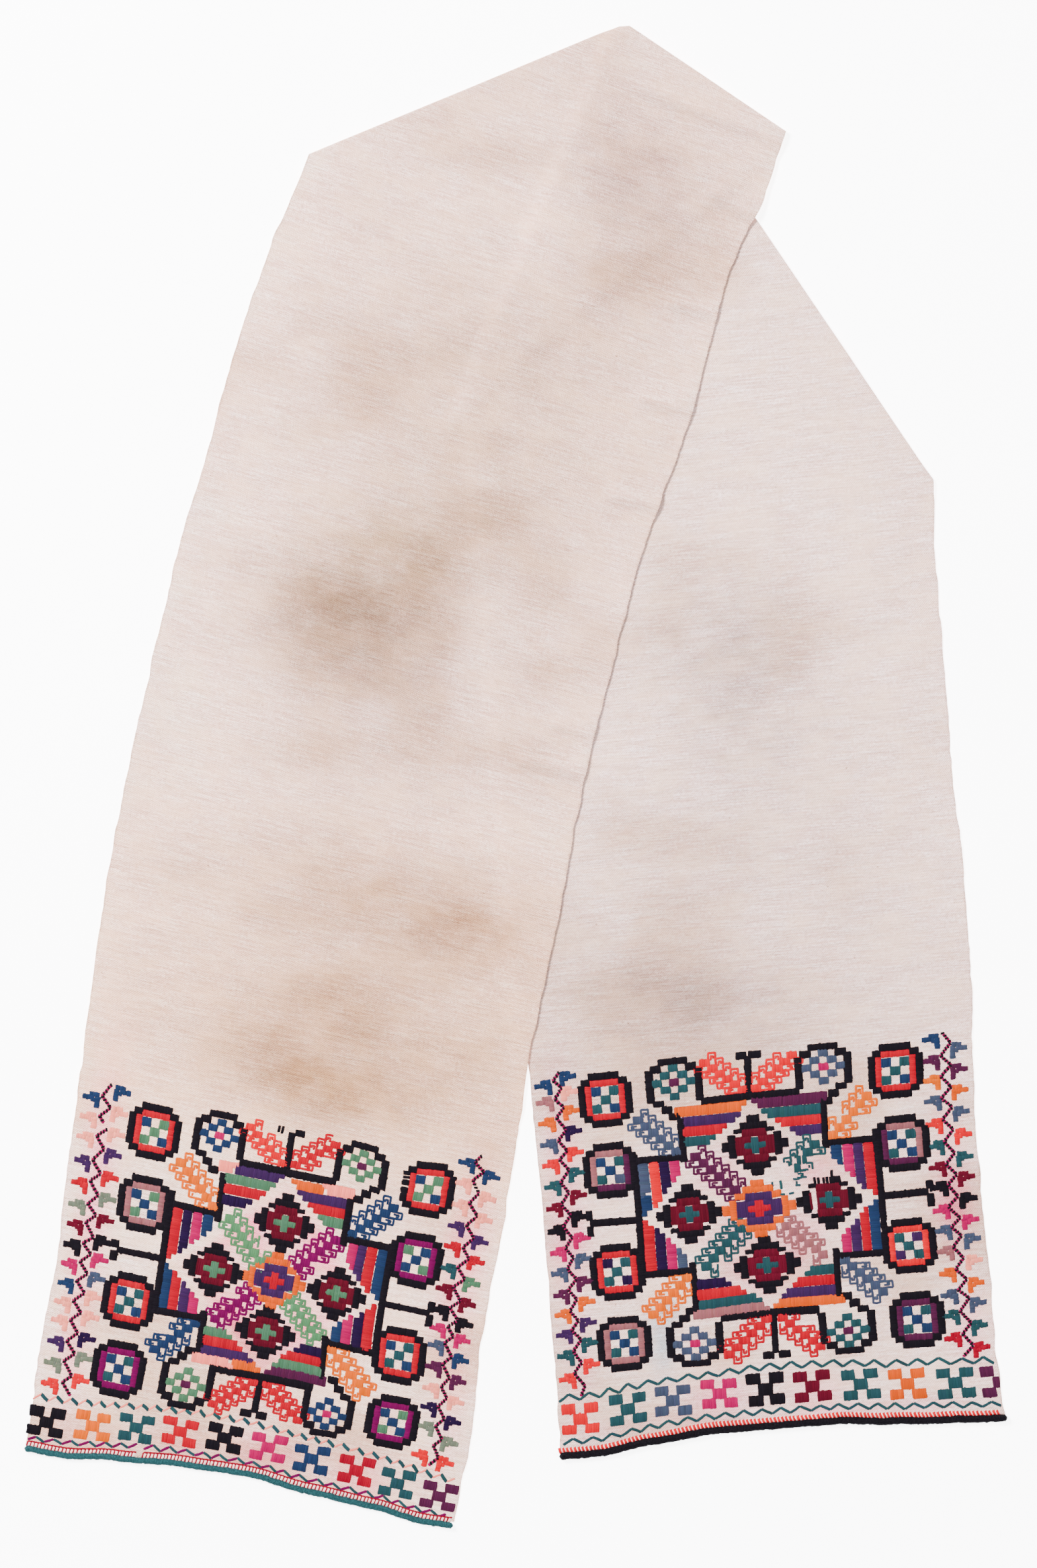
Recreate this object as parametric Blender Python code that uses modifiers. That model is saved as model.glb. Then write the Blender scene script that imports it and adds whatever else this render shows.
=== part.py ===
"""Rushnyk ritual towel: one long strip of homespun linen, laid flat and turned back on itself at a single
point so that its two embroidered ends hang side by side like the legs of a narrow A.

Metres, +Z up. The towel lies on z = 0, with its fold at +Y and its two hems at -Y.

The strip is flat-folded about one vertex by four creases. Going round the vertex, the sectors are, from
the top layer down: the front arm, a hidden triangle, the back arm and the bottom triangle."""

from collections import namedtuple
from math import atan2, cos, degrees, floor, hypot, pi, radians, sin

import bmesh
import bpy
from mathutils import Vector
from mathutils.geometry import delaunay_2d_cdt

MM = 0.001

# ---------------------------------------------------------------- driving sizes, in mm
CLOTH_THICK = 1.0
LAYER_PITCH = 1.8            # height from the middle of one layer to the middle of the next
STRIP_LEFT = 197.5           # width of the strip on the left of the vertex, seen on the front arm
STRIP_RIGHT = 141.0          # and on its right
VERTEX = (82.0, 568.2)       # where the four creases meet
CENTRE = (-0.24, -1.40)       # middle of the whole towel, which goes to the origin
STEP_RAMP = 14.0             # length over which cloth comes down off the edge of a layer beneath
SOFT_RAMP = 24.0             # the same where the cloth is pressed softer
FLAP_RAMP = 78.0             # the same where the small top flap hovers off the back arm's fold
EDGE_CLEAR = 1.5             # a layer stays up this far past the edge beneath it
POINT_CUT = 7.0              # radius about the vertex where the layers run into the folded point
CORD_GAP = 0.35
FRONT_CORD_RADIUS = 1.9
BACK_CORD_RADIUS = 1.7
GRID_ALONG = 26.0
GRID_ACROSS = 24.0
CREASE_STEP = 18.0

# Directions in degrees, measured on the plane. "flat" is in the plane of the unfolded front arm, "folded"
# is where that crease lies in the towel, "inward" points from the crease to the side its two layers share.
Crease = namedtuple("Crease", "name flat folded inward length upper_side")
CREASES = (
    Crease("outer_left", 202.5, 202.5, 292.5, 257.8, 1),
    Crease("flap", 326.3, 326.3, 236.3, 146.8, -1),
    Crease("hidden", 44.7, 247.9, 337.9, 302.3, -1),
    Crease("outer_right", 100.9, 304.1, 214.1, 415.2, -1),
)
ALONG = 72.5                 # direction of the strip's length on the unfolded front arm

# Where the strip is cut off at each end: its station along the strip from the vertex, at shares of the
# width from that end's left side as it lies.
Hem = namedtuple("Hem", "share station")
FRONT_HEM = (
    Hem(0.0, -1149.2), Hem(0.08, -1149.8), Hem(0.2, -1145.4), Hem(0.37, -1140.6), Hem(0.52, -1139.5),
    Hem(0.66, -1143.9), Hem(0.81, -1145.8), Hem(0.93, -1150.0), Hem(1.0, -1149.2),
)
BACK_HEM = (
    Hem(0.0, 1074.0), Hem(0.08, 1073.9), Hem(0.2, 1069.6), Hem(0.37, 1065.6), Hem(0.5, 1064.9),
    Hem(0.62, 1065.8), Hem(0.74, 1069.0), Hem(0.86, 1071.2), Hem(1.0, 1073.8),
)

# Where the selvedges lie, at stations along the strip from the vertex.
Edge = namedtuple("Edge", "station x y")
FRONT_LEFT = (
    Edge(-200.0, -169.5, 437.3), Edge(-250.0, -189.1, 390.2), Edge(-300.0, -205.7, 341.9),
    Edge(-380.0, -228.0, 263.4), Edge(-475.0, -254.8, 170.3), Edge(-575.0, -278.4, 71.2),
    Edge(-675.0, -299.8, -28.5), Edge(-775.0, -316.9, -129.0), Edge(-850.0, -326.3, -205.0),
    Edge(-925.0, -337.1, -280.7), Edge(-1000.0, -346.0, -356.7), Edge(-1075.0, -359.1, -432.0),
    Edge(-1151.2, -370.5, -508.8),
)
FRONT_RIGHT = (
    Edge(-60.0, 198.5, 469.3), Edge(-80.0, 192.2, 450.8), Edge(-100.0, 187.0, 431.9),
    Edge(-125.0, 174.9, 410.8), Edge(-150.0, 164.7, 388.5), Edge(-200.0, 150.3, 341.8),
    Edge(-250.0, 139.2, 294.0), Edge(-300.0, 124.8, 247.1), Edge(-380.0, 97.6, 173.7),
    Edge(-475.0, 73.2, 83.7), Edge(-575.0, 50.3, -11.6), Edge(-675.0, 32.0, -107.8),
    Edge(-775.0, 12.0, -203.5), Edge(-850.0, 1.1, -276.2), Edge(-925.0, -10.9, -348.8),
    Edge(-1000.0, -25.0, -421.0), Edge(-1075.0, -32.7, -494.1), Edge(-1151.2, -48.0, -567.2),
)
BACK_LEFT = (
    Edge(300.0, -28.5, 255.5), Edge(330.0, -25.7, 225.7), Edge(365.0, -22.5, 191.0),
    Edge(450.0, -15.0, 106.7), Edge(525.0, -8.6, 32.2), Edge(600.0, -2.6, -42.3),
    Edge(675.0, 2.4, -116.8), Edge(750.0, 7.4, -191.4), Edge(825.0, 14.6, -265.7),
    Edge(900.0, 21.5, -340.1), Edge(975.0, 27.0, -414.6), Edge(1025.0, 31.0, -464.3),
    Edge(1077.2, 33.5, -516.2),
)
BACK_RIGHT = (
    Edge(400.0, 315.0, 189.8), Edge(450.0, 319.0, 139.8), Edge(525.0, 325.5, 64.8),
    Edge(600.0, 331.7, -10.3), Edge(675.0, 339.5, -85.2), Edge(750.0, 344.6, -160.3),
    Edge(825.0, 346.1, -235.4), Edge(900.0, 351.7, -310.5), Edge(975.0, 359.3, -385.3),
    Edge(1025.0, 363.1, -435.4), Edge(1077.2, 370.5, -487.2),
)


# ---------------------------------------------------------------- plane geometry
def unit(angle):
    return cos(radians(angle)), sin(radians(angle))


def smooth(x):
    x = min(1.0, max(0.0, x))
    return x * x * (3 - 2 * x)


def strip_of(x, y):
    """(station along the strip, distance across it) of a point of the unfolded cloth, about the vertex."""
    u, r = unit(ALONG), unit(ALONG - 90)
    return x * u[0] + y * u[1], x * r[0] + y * r[1]


def flat_of(station, across):
    u, r = unit(ALONG), unit(ALONG - 90)
    return station * u[0] + across * r[0], station * u[1] + across * r[1]


def turned(x, y, angle, mirrored):
    """The point turned about the vertex. A mirrored sector lies face down."""
    radius, at = hypot(x, y), degrees(atan2(y, x))
    c = unit((angle - at) if mirrored else (angle + at))
    return VERTEX[0] + radius * c[0], VERTEX[1] + radius * c[1]


def edge_at(rows, station, rigid):
    """A point on a selvedge: on the plain fold up to the table's first row, and a smooth curve after it."""
    sign = 1 if rows[-1].station > rows[0].station else -1
    first = rows[0].station
    if (station - first) * sign <= -40:
        return rigid(station)
    nodes = [Edge(first - sign * step, *rigid(first - sign * step)) for step in (80.0, 40.0)] + list(rows)
    last = 2 * Vector(nodes[-1]) - Vector(nodes[-2])
    nodes.append(Edge(*last))
    i = 1
    while i < len(nodes) - 3 and (station - nodes[i + 1].station) * sign > 0:
        i += 1
    a, b, c, d = nodes[i - 1: i + 3]
    span = c.station - b.station
    h = (station - b.station) / span
    out = []
    for k in (1, 2):
        slope_b = (c[k] - a[k]) / (c.station - a.station) * span
        slope_c = (d[k] - b[k]) / (d.station - b.station) * span
        out.append(
            (2 * h**3 - 3 * h**2 + 1) * b[k] + (h**3 - 2 * h**2 + h) * slope_b
            + (-2 * h**3 + 3 * h**2) * c[k] + (h**3 - h**2) * slope_c
        )
    return tuple(out)


def off_crease(x, y, crease):
    """(distance along the crease, signed distance from it) in the unfolded cloth."""
    c = unit(crease.flat)
    return x * c[0] + y * c[1], -x * c[1] + y * c[0]


def laid_arm(x, y, left, right, angle, creases):
    """An arm's point on the plane: the plain fold near its creases, easing into the selvedge tables."""
    station, across = strip_of(x, y)
    plain = turned(x, y, angle, False)
    share = (across + STRIP_LEFT) / (STRIP_LEFT + STRIP_RIGHT)
    a = edge_at(left, station, lambda s: turned(*flat_of(s, left_across), angle, False))
    b = edge_at(right, station, lambda s: turned(*flat_of(s, right_across), angle, False))
    near = min(abs(off_crease(x, y, c)[1]) if off_crease(x, y, c)[0] > 0 else hypot(x, y) for c in creases)
    ease = smooth(near / 34.0)
    return tuple(p + ease * (m + share * (n - m) - p) for p, m, n in zip(plain, a, b))


left_across, right_across = -STRIP_LEFT, STRIP_RIGHT


# ---------------------------------------------------------------- heights of the layers
def past(x, y, origin, angle, side):
    """How far a point is outside the line through origin, with the inside on its left (1) or right (-1)."""
    c = unit(angle)
    return -side * ((x - origin[0]) * -c[1] + (y - origin[1]) * c[0])


def held_up(distance, ramp):
    return 1.0 - smooth((distance - EDGE_CLEAR) / ramp)


def corner(crease):
    c = unit(crease.folded)
    return VERTEX[0] + crease.length * c[0], VERTEX[1] + crease.length * c[1]


A, B, D, C = (corner(c) for c in CREASES)


def line_angle(p, q):
    return degrees(atan2(q[1] - p[1], q[0] - p[0]))


def over_bottom(x, y):
    """1 over the bottom triangle, falling to 0 beyond its edges."""
    return (
        held_up(past(x, y, A, line_angle(A, C), 1), SOFT_RAMP)
        * held_up(past(x, y, VERTEX, CREASES[3].folded, -1), FLAP_RAMP)
    )


def over_back(x, y):
    """1 over the back arm, falling to 0 beyond its hidden crease, its left selvedge and its outer fold."""
    value = held_up(past(x, y, VERTEX, CREASES[3].folded, -1), FLAP_RAMP)
    value *= held_up(past(x, y, VERTEX, CREASES[2].folded, 1), STEP_RAMP)
    if y < D[1] + 40:
        rows = BACK_LEFT
        i = 0
        while i < len(rows) - 2 and rows[i + 1].y > y:
            i += 1
        a, b = rows[i], rows[i + 1]
        edge_x = a.x + (b.x - a.x) * (y - a.y) / (b.y - a.y)
        value *= held_up(edge_x - x, STEP_RAMP)
    return value


def over_flap(x, y):
    """1 over the hidden triangle, falling to 0 beyond its crease and its free selvedge."""
    return (
        held_up(past(x, y, VERTEX, CREASES[2].folded, 1), STEP_RAMP)
        * held_up(past(x, y, D, line_angle(D, B), 1), STEP_RAMP)
    )


def height(layer, x, y):
    """Height of the middle of a layer: 1 the front arm, 2 the hidden triangle, 3 the back arm, 4 the bottom."""
    z = CLOTH_THICK / 2
    if layer <= 3:
        z += LAYER_PITCH * over_bottom(x, y)
    if layer <= 2:
        z += LAYER_PITCH * over_back(x, y)
    if layer == 1:
        z += LAYER_PITCH * over_flap(x, y)
    return z


# ---------------------------------------------------------------- the fold
def sector_of(x, y):
    at = degrees(atan2(y, x)) % 360
    if 202.5 <= at <= 326.3:
        return 1
    if 44.7 < at <= 100.9:
        return 3
    if 100.9 < at < 202.5:
        return 4
    return 2


def on_plane(layer, x, y):
    if layer == 1:
        return laid_arm(x, y, FRONT_LEFT, FRONT_RIGHT, 0.0, CREASES[:2])
    if layer == 2:
        return turned(x, y, 652.6, True)
    if layer == 3:
        return laid_arm(x, y, BACK_RIGHT, BACK_LEFT, -156.8, CREASES[2:])
    return turned(x, y, 765.0, True)


UPPER_LOWER = {"outer_left": (1, 4), "flap": (1, 2), "hidden": (2, 3), "outer_right": (3, 4)}


def folded(x, y):
    """Where a point of the unfolded cloth lies in the towel: its middle surface, in mm."""
    for crease in CREASES:
        along, off = off_crease(x, y, crease)
        if along <= 0 or abs(off) > 12:
            continue
        upper, lower = UPPER_LOWER[crease.name]
        c, n = unit(crease.folded), unit(crease.inward)
        reach = pi * LAYER_PITCH / 4
        for _ in range(4):
            px, py = VERTEX[0] + along * c[0] + reach * n[0], VERTEX[1] + along * c[1] + reach * n[1]
            top, low = height(upper, px, py), height(lower, px, py)
            radius = (top - low) / 2
            reach = pi * radius / 2
        if abs(off) >= reach:
            continue
        turn = off * crease.upper_side / radius
        inward = reach - radius * cos(turn)
        return (
            VERTEX[0] + along * c[0] + inward * n[0],
            VERTEX[1] + along * c[1] + inward * n[1],
            (top + low) / 2 + radius * sin(turn),
        )
    layer = sector_of(x, y)
    px, py = on_plane(layer, x, y)
    return px, py, height(layer, px, py)


def unfolded(layer, x, y):
    """The point of the unfolded cloth that lies at (x, y) in this layer."""
    back = {1: 0.0, 3: 156.8}[layer]
    c = unit(back)
    dx, dy = x - VERTEX[0], y - VERTEX[1]
    fx, fy = dx * c[0] - dy * c[1], dx * c[1] + dy * c[0]
    for _ in range(12):
        px, py = on_plane(layer, fx, fy)
        ex, ey = x - px, y - py
        fx, fy = fx + ex * c[0] - ey * c[1], fy + ex * c[1] + ey * c[0]
    return fx, fy


# ---------------------------------------------------------------- the flat cloth's net of points
def hem_station(across, end):
    """Station of the cut hem. The front arm lies face up, and the back arm turned over left to right."""
    share = (across + STRIP_LEFT) / (STRIP_LEFT + STRIP_RIGHT)
    rows = FRONT_HEM if end == "front" else BACK_HEM
    share = share if end == "front" else 1 - share
    i = 0
    while i < len(rows) - 2 and rows[i + 1].share < share:
        i += 1
    a, b = rows[i], rows[i + 1]
    return a.station + (b.station - a.station) * smooth((share - a.share) / (b.share - a.share))


def spread(a, b, step):
    n = max(1, round(abs(b - a) / step))
    return [a + (b - a) * i / n for i in range(n + 1)]


def in_strip(x, y, margin=0.0):
    s, t = strip_of(x, y)
    return (
        -STRIP_LEFT + margin < t < STRIP_RIGHT - margin
        and hem_station(t, "front") + margin < s < hem_station(t, "back") - margin
    )


def crease_lines():
    """Lines along each crease, at the quarter points of its turn and beside it."""
    lines = []
    for crease in CREASES:
        c = unit(crease.flat)
        n = (-c[1], c[0])
        widest = 3 if crease.name == "outer_left" else 1
        for share in (-1.0, -0.55, 0.0, 0.55, 1.0):
            line = []
            near = [POINT_CUT * k for k in (1.0, 1.35, 1.8, 2.4, 3.2, 4.2)]
            for along in near + spread(POINT_CUT * 5.5, crease.length + 15, CREASE_STEP):
                off = share * turn_half(along, widest)
                if along == POINT_CUT:
                    along = (POINT_CUT**2 - off**2) ** 0.5
                line.append((along * c[0] + n[0] * off, along * c[1] + n[1] * off))
            lines.append(line)
    return lines


def turn_half(along, widest):
    """Half the cloth taken up by a crease's turn: the outer left crease goes round all the layers at the vertex."""
    fade = 1 - smooth((along - 4) / 22)
    return 1.04 * pi * LAYER_PITCH / 4 * (1 + (widest - 1) * fade)


def ramp_lines():
    """Lines beside the edges that an upper layer comes down from."""
    lines = []
    for share in (0.0, 0.33, 0.67, 1.0):
        off = EDGE_CLEAR + share * STEP_RAMP
        lines.append([(1, p) for p in beside(D, B, -off)])
        lines.append([(1, p) for p in beside(VERTEX, D, -off)])
        lines.append([(1, (row.x - off, row.y)) for row in BACK_LEFT])
    for share in (0.0, 0.33, 0.67, 1.0):
        off = EDGE_CLEAR + share * SOFT_RAMP
        for layer in (1, 3):
            lines.append([(layer, p) for p in beside(A, C, -off)])
    return lines


def beside(p, q, off):
    length = hypot(q[0] - p[0], q[1] - p[1])
    c = ((q[0] - p[0]) / length, (q[1] - p[1]) / length)
    side = 1 if (p, q) != (VERTEX, D) else -1
    n = (-c[1] * side, c[0] * side)
    return [
        (p[0] + c[0] * a + n[0] * off, p[1] + c[1] * a + n[1] * off)
        for a in spread(-12, length + 12, CREASE_STEP)
    ]


def cut_to_strip(line):
    """The runs of the line inside the strip and outside the vertex cut."""
    runs, run = [], []
    for p in line:
        if in_strip(*p, margin=-25.0) and hypot(*p) > POINT_CUT - 0.01:
            run.append(p)
        else:
            if len(run) > 1:
                runs.append(run)
            run = []
    if len(run) > 1:
        runs.append(run)
    return runs


def in_ring(x, y, ring):
    """Whether the point is inside a ring of points that goes once round the vertex."""
    for p, q in zip(ring, ring[1:] + ring[:1]):
        if p[0] * y - p[1] * x >= 0 and x * q[1] - y * q[0] >= 0 and x * p[0] + y * p[1] > 0:
            return (q[0] - p[0]) * (y - p[1]) - (q[1] - p[1]) * (x - p[0]) > 0
    return False


def towel_net():
    points, edges = [], []

    def add_line(line, close=False):
        first = len(points)
        points.extend(Vector(p) for p in line)
        edges.extend((first + i, first + i + 1) for i in range(len(line) - 1))
        if close:
            edges.append((first + len(line) - 1, first))

    across = spread(-STRIP_LEFT, STRIP_RIGHT, GRID_ACROSS)
    outline = [flat_of(hem_station(t, "front"), t) for t in across]
    front, back = hem_station(STRIP_RIGHT, "front"), hem_station(STRIP_RIGHT, "back")
    outline += [flat_of(s, STRIP_RIGHT) for s in spread(front, back, GRID_ALONG)[1:-1]]
    outline += [flat_of(hem_station(t, "back"), t) for t in reversed(across)]
    front, back = hem_station(-STRIP_LEFT, "front"), hem_station(-STRIP_LEFT, "back")
    outline += [flat_of(s, -STRIP_LEFT) for s in reversed(spread(front, back, GRID_ALONG)[1:-1])]
    add_line(outline, close=True)

    ring = [
        (POINT_CUT * cos(2 * pi * i / 40), POINT_CUT * sin(2 * pi * i / 40)) for i in range(40)
    ]
    for crease in CREASES:
        c = unit(crease.flat)
        n = (-c[1], c[0])
        widest = 3 if crease.name == "outer_left" else 1
        half = turn_half(POINT_CUT, widest)
        ring = [p for p in ring if off_crease(*p, crease)[0] < 0 or abs(off_crease(*p, crease)[1]) > half + 0.5]
        for share in (-1.0, -0.55, 0.0, 0.55, 1.0):
            off = share * half
            along = (POINT_CUT**2 - off**2) ** 0.5
            ring.append((along * c[0] + n[0] * off, along * c[1] + n[1] * off))
    ring.sort(key=lambda p: atan2(p[1], p[0]))
    add_line(ring, close=True)

    inner = []
    for line in crease_lines():
        for run in cut_to_strip(line):
            inner += run
            add_line(run)
    for line in ramp_lines():
        flat_line = [unfolded(layer, *p) for layer, p in line]
        kept = []
        for (layer, _), p in zip(line, flat_line):
            clear = all(
                off_crease(*p, c)[0] < 0 or abs(off_crease(*p, c)[1]) > 5.0 for c in CREASES
            )
            clear = clear and hypot(*p) > 3 * POINT_CUT
            kept.append(p if sector_of(*p) == layer and clear else (1e6, 1e6))
        for run in cut_to_strip(kept):
            inner += run
            add_line(run)

    fixed = inner + ring
    for s in spread(FRONT_HEM[4].station + 12, BACK_HEM[4].station - 12, GRID_ALONG):
        for t in across[1:-1]:
            p = flat_of(s, t)
            if in_strip(*p, margin=6.0) and all(hypot(p[0] - q[0], p[1] - q[1]) > 8 for q in fixed):
                points.append(Vector(p))

    found, _, faces, *_ = delaunay_2d_cdt(points, edges, [], 0, 1e-5)
    kept = []
    for face in faces:
        x = sum(found[i].x for i in face) / 3
        y = sum(found[i].y for i in face) / 3
        if in_strip(x, y) and not in_ring(x, y, ring):
            kept.append(face)
    return found, kept


# ---------------------------------------------------------------- Blender objects
def cleared_collections():
    for obj in list(bpy.data.objects):
        bpy.data.objects.remove(obj, do_unlink=True)
    towel = bpy.data.collections.new("rushnyk_towel")
    helpers = bpy.data.collections.new("cutters")
    helpers.hide_render = True
    for collection in (towel, helpers):
        bpy.context.scene.collection.children.link(collection)
    return towel, helpers


def material(name, colour, roughness):
    mat = bpy.data.materials.new(name)
    mat.use_nodes = True
    shader = mat.node_tree.nodes["Principled BSDF"]
    shader.inputs["Base Color"].default_value = (*colour, 1.0)
    shader.inputs["Roughness"].default_value = roughness
    return mat


def placed(x, y, z):
    """The point in metres, with the towel's middle at the origin."""
    return MM * (x - CENTRE[0]), MM * (y - CENTRE[1]), MM * z


def mesh_object(name, vertices, faces, collection):
    mesh = bpy.data.meshes.new(name)
    mesh.from_pydata([placed(*p) for p in vertices], [], faces)
    mesh.validate()
    obj = bpy.data.objects.new(name, mesh)
    collection.objects.link(obj)
    return obj


def folded_point(helpers):
    """The small solid point where the four creases meet and the layers are pressed into one."""
    stack = CLOTH_THICK + 3 * LAYER_PITCH
    reach = 10.5
    angles = [204.5] + [210 + 14 * i for i in range(8)] + [325.0]
    tip = (VERTEX[0] - 0.6, VERTEX[1] - 1.6)
    rim = [tip] + [(VERTEX[0] + reach * unit(a)[0], VERTEX[1] + reach * unit(a)[1]) for a in angles]
    low, high = 0.12, stack - 0.12
    n = len(rim)
    vertices = [(x, y, low) for x, y in rim] + [(x, y, high) for x, y in rim]
    faces = [tuple(reversed(range(n))), tuple(range(n, 2 * n))]
    faces += [(i, (i + 1) % n, n + (i + 1) % n, n + i) for i in range(n)]
    return mesh_object("folded_point", vertices, faces, helpers)


def make_cloth(towel, helpers):
    net, faces = towel_net()
    cloth = mesh_object("cloth", [folded(p.x, p.y) for p in net], faces, towel)
    loose = bmesh.new()
    loose.from_mesh(cloth.data)
    bmesh.ops.delete(loose, geom=[v for v in loose.verts if not v.link_faces], context="VERTS")
    loose.to_mesh(cloth.data)
    loose.free()
    solid = cloth.modifiers.new("thickness", "SOLIDIFY")
    solid.thickness = CLOTH_THICK * MM
    solid.offset = 0.0
    solid.use_even_offset = False
    solid.thickness_clamp = 0.0
    point = folded_point(helpers)
    point.hide_render = True
    point.display_type = "WIRE"
    join = cloth.modifiers.new("point", "BOOLEAN")
    join.operation = "UNION"
    join.solver = "MANIFOLD"
    join.object = point
    cloth.data.materials.append(material("linen", (0.78, 0.70, 0.62), 0.9))
    return cloth


def make_cord(name, end, radius, colour, towel):
    """The round edging cord that lies along a hem."""
    layer, sign = (1, -1) if end == "front" else (3, 1)
    out = radius + CORD_GAP
    line = []
    for t in spread(-STRIP_LEFT - 0.5, STRIP_RIGHT + 0.5, 11.0):
        px, py = on_plane(layer, *flat_of(hem_station(t, end) + sign * out, t))
        line.append(placed(px, py, radius))
    curve = bpy.data.curves.new(name, "CURVE")
    curve.dimensions = "3D"
    curve.bevel_depth = radius * MM
    curve.bevel_resolution = 2
    curve.use_fill_caps = True
    spline = curve.splines.new("POLY")
    spline.points.add(len(line) - 1)
    for point, at in zip(spline.points, line):
        point.co = (*at, 1.0)
    cord = bpy.data.objects.new(name, curve)
    towel.objects.link(cord)
    curve.materials.append(material(name + "_yarn", colour, 0.95))
    return cord


def main():
    towel, helpers = cleared_collections()
    make_cloth(towel, helpers)
    make_cord("edging_teal", "front", FRONT_CORD_RADIUS, (0.03, 0.20, 0.20), towel)
    make_cord("edging_black", "back", BACK_CORD_RADIUS, (0.012, 0.012, 0.018), towel)


main()
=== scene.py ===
"""Looks for the folded rushnyk: a fine linen sheet on the fold of its solid, with its embroidery, zigzag lines,
whip stitches and edging cords as real raised yarn.

Lengths are in millimetres until placed(). Embroidery is charted on each end of the strip in chart steps of
half a millimetre: w counts from the selvedge at the left as the end lies, d counts up from its hem."""

from collections import namedtuple

import bpy
import numpy as np
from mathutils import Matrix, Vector
from mathutils.geometry import delaunay_2d_cdt


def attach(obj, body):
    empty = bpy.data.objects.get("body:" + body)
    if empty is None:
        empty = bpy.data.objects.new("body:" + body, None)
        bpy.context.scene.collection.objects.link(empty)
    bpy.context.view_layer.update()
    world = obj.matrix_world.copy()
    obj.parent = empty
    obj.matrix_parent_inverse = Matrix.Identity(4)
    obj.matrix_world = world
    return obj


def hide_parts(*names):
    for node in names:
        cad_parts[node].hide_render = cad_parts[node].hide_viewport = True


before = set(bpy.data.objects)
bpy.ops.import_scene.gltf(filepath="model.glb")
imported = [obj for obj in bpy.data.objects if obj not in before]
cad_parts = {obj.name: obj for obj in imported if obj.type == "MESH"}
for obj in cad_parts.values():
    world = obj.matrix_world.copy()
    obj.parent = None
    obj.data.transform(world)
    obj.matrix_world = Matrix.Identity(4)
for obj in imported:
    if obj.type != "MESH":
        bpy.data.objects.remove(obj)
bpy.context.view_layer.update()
MM = 0.001
RNG = np.random.default_rng(4127)

# ---------------------------------------------------------------- sizes of the fold, as in the solid
CLOTH_THICK = 1.0
LAYER_PITCH = 1.8
STRIP_LEFT = 197.5
STRIP_RIGHT = 141.0
VERTEX = (82.0, 568.2)
CENTRE = (-0.24, -1.40)
STEP_RAMP = 14.0
SOFT_RAMP = 24.0
FLAP_RAMP = 78.0
EDGE_CLEAR = 1.5
ALONG = 72.5

Crease = namedtuple("Crease", "name flat folded inward length upper_side")
CREASES = (
    Crease("outer_left", 202.5, 202.5, 292.5, 257.8, 1),
    Crease("flap", 326.3, 326.3, 236.3, 146.8, -1),
    Crease("hidden", 44.7, 247.9, 337.9, 302.3, -1),
    Crease("outer_right", 100.9, 304.1, 214.1, 415.2, -1),
)
UPPER_LOWER = {"outer_left": (1, 4), "flap": (1, 2), "hidden": (2, 3), "outer_right": (3, 4)}

Hem = namedtuple("Hem", "share station")
FRONT_HEM = (
    Hem(0.0, -1149.2), Hem(0.08, -1149.8), Hem(0.2, -1145.4), Hem(0.37, -1140.6), Hem(0.52, -1139.5),
    Hem(0.66, -1143.9), Hem(0.81, -1145.8), Hem(0.93, -1150.0), Hem(1.0, -1149.2),
)
BACK_HEM = (
    Hem(0.0, 1074.0), Hem(0.08, 1073.9), Hem(0.2, 1069.6), Hem(0.37, 1065.6), Hem(0.5, 1064.9),
    Hem(0.62, 1065.8), Hem(0.74, 1069.0), Hem(0.86, 1071.2), Hem(1.0, 1073.8),
)
Edge = namedtuple("Edge", "station x y")
FRONT_LEFT = (
    Edge(-200.0, -169.5, 437.3), Edge(-250.0, -189.1, 390.2), Edge(-300.0, -205.7, 341.9),
    Edge(-380.0, -228.0, 263.4), Edge(-475.0, -254.8, 170.3), Edge(-575.0, -278.4, 71.2),
    Edge(-675.0, -299.8, -28.5), Edge(-775.0, -316.9, -129.0), Edge(-850.0, -326.3, -205.0),
    Edge(-925.0, -337.1, -280.7), Edge(-1000.0, -346.0, -356.7), Edge(-1075.0, -359.1, -432.0),
    Edge(-1151.2, -370.5, -508.8),
)
FRONT_RIGHT = (
    Edge(-60.0, 198.5, 469.3), Edge(-80.0, 192.2, 450.8), Edge(-100.0, 187.0, 431.9),
    Edge(-125.0, 174.9, 410.8), Edge(-150.0, 164.7, 388.5), Edge(-200.0, 150.3, 341.8),
    Edge(-250.0, 139.2, 294.0), Edge(-300.0, 124.8, 247.1), Edge(-380.0, 97.6, 173.7),
    Edge(-475.0, 73.2, 83.7), Edge(-575.0, 50.3, -11.6), Edge(-675.0, 32.0, -107.8),
    Edge(-775.0, 12.0, -203.5), Edge(-850.0, 1.1, -276.2), Edge(-925.0, -10.9, -348.8),
    Edge(-1000.0, -25.0, -421.0), Edge(-1075.0, -32.7, -494.1), Edge(-1151.2, -48.0, -567.2),
)
BACK_LEFT = (
    Edge(300.0, -28.5, 255.5), Edge(330.0, -25.7, 225.7), Edge(365.0, -22.5, 191.0),
    Edge(450.0, -15.0, 106.7), Edge(525.0, -8.6, 32.2), Edge(600.0, -2.6, -42.3),
    Edge(675.0, 2.4, -116.8), Edge(750.0, 7.4, -191.4), Edge(825.0, 14.6, -265.7),
    Edge(900.0, 21.5, -340.1), Edge(975.0, 27.0, -414.6), Edge(1025.0, 31.0, -464.3),
    Edge(1077.2, 33.5, -516.2),
)
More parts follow.
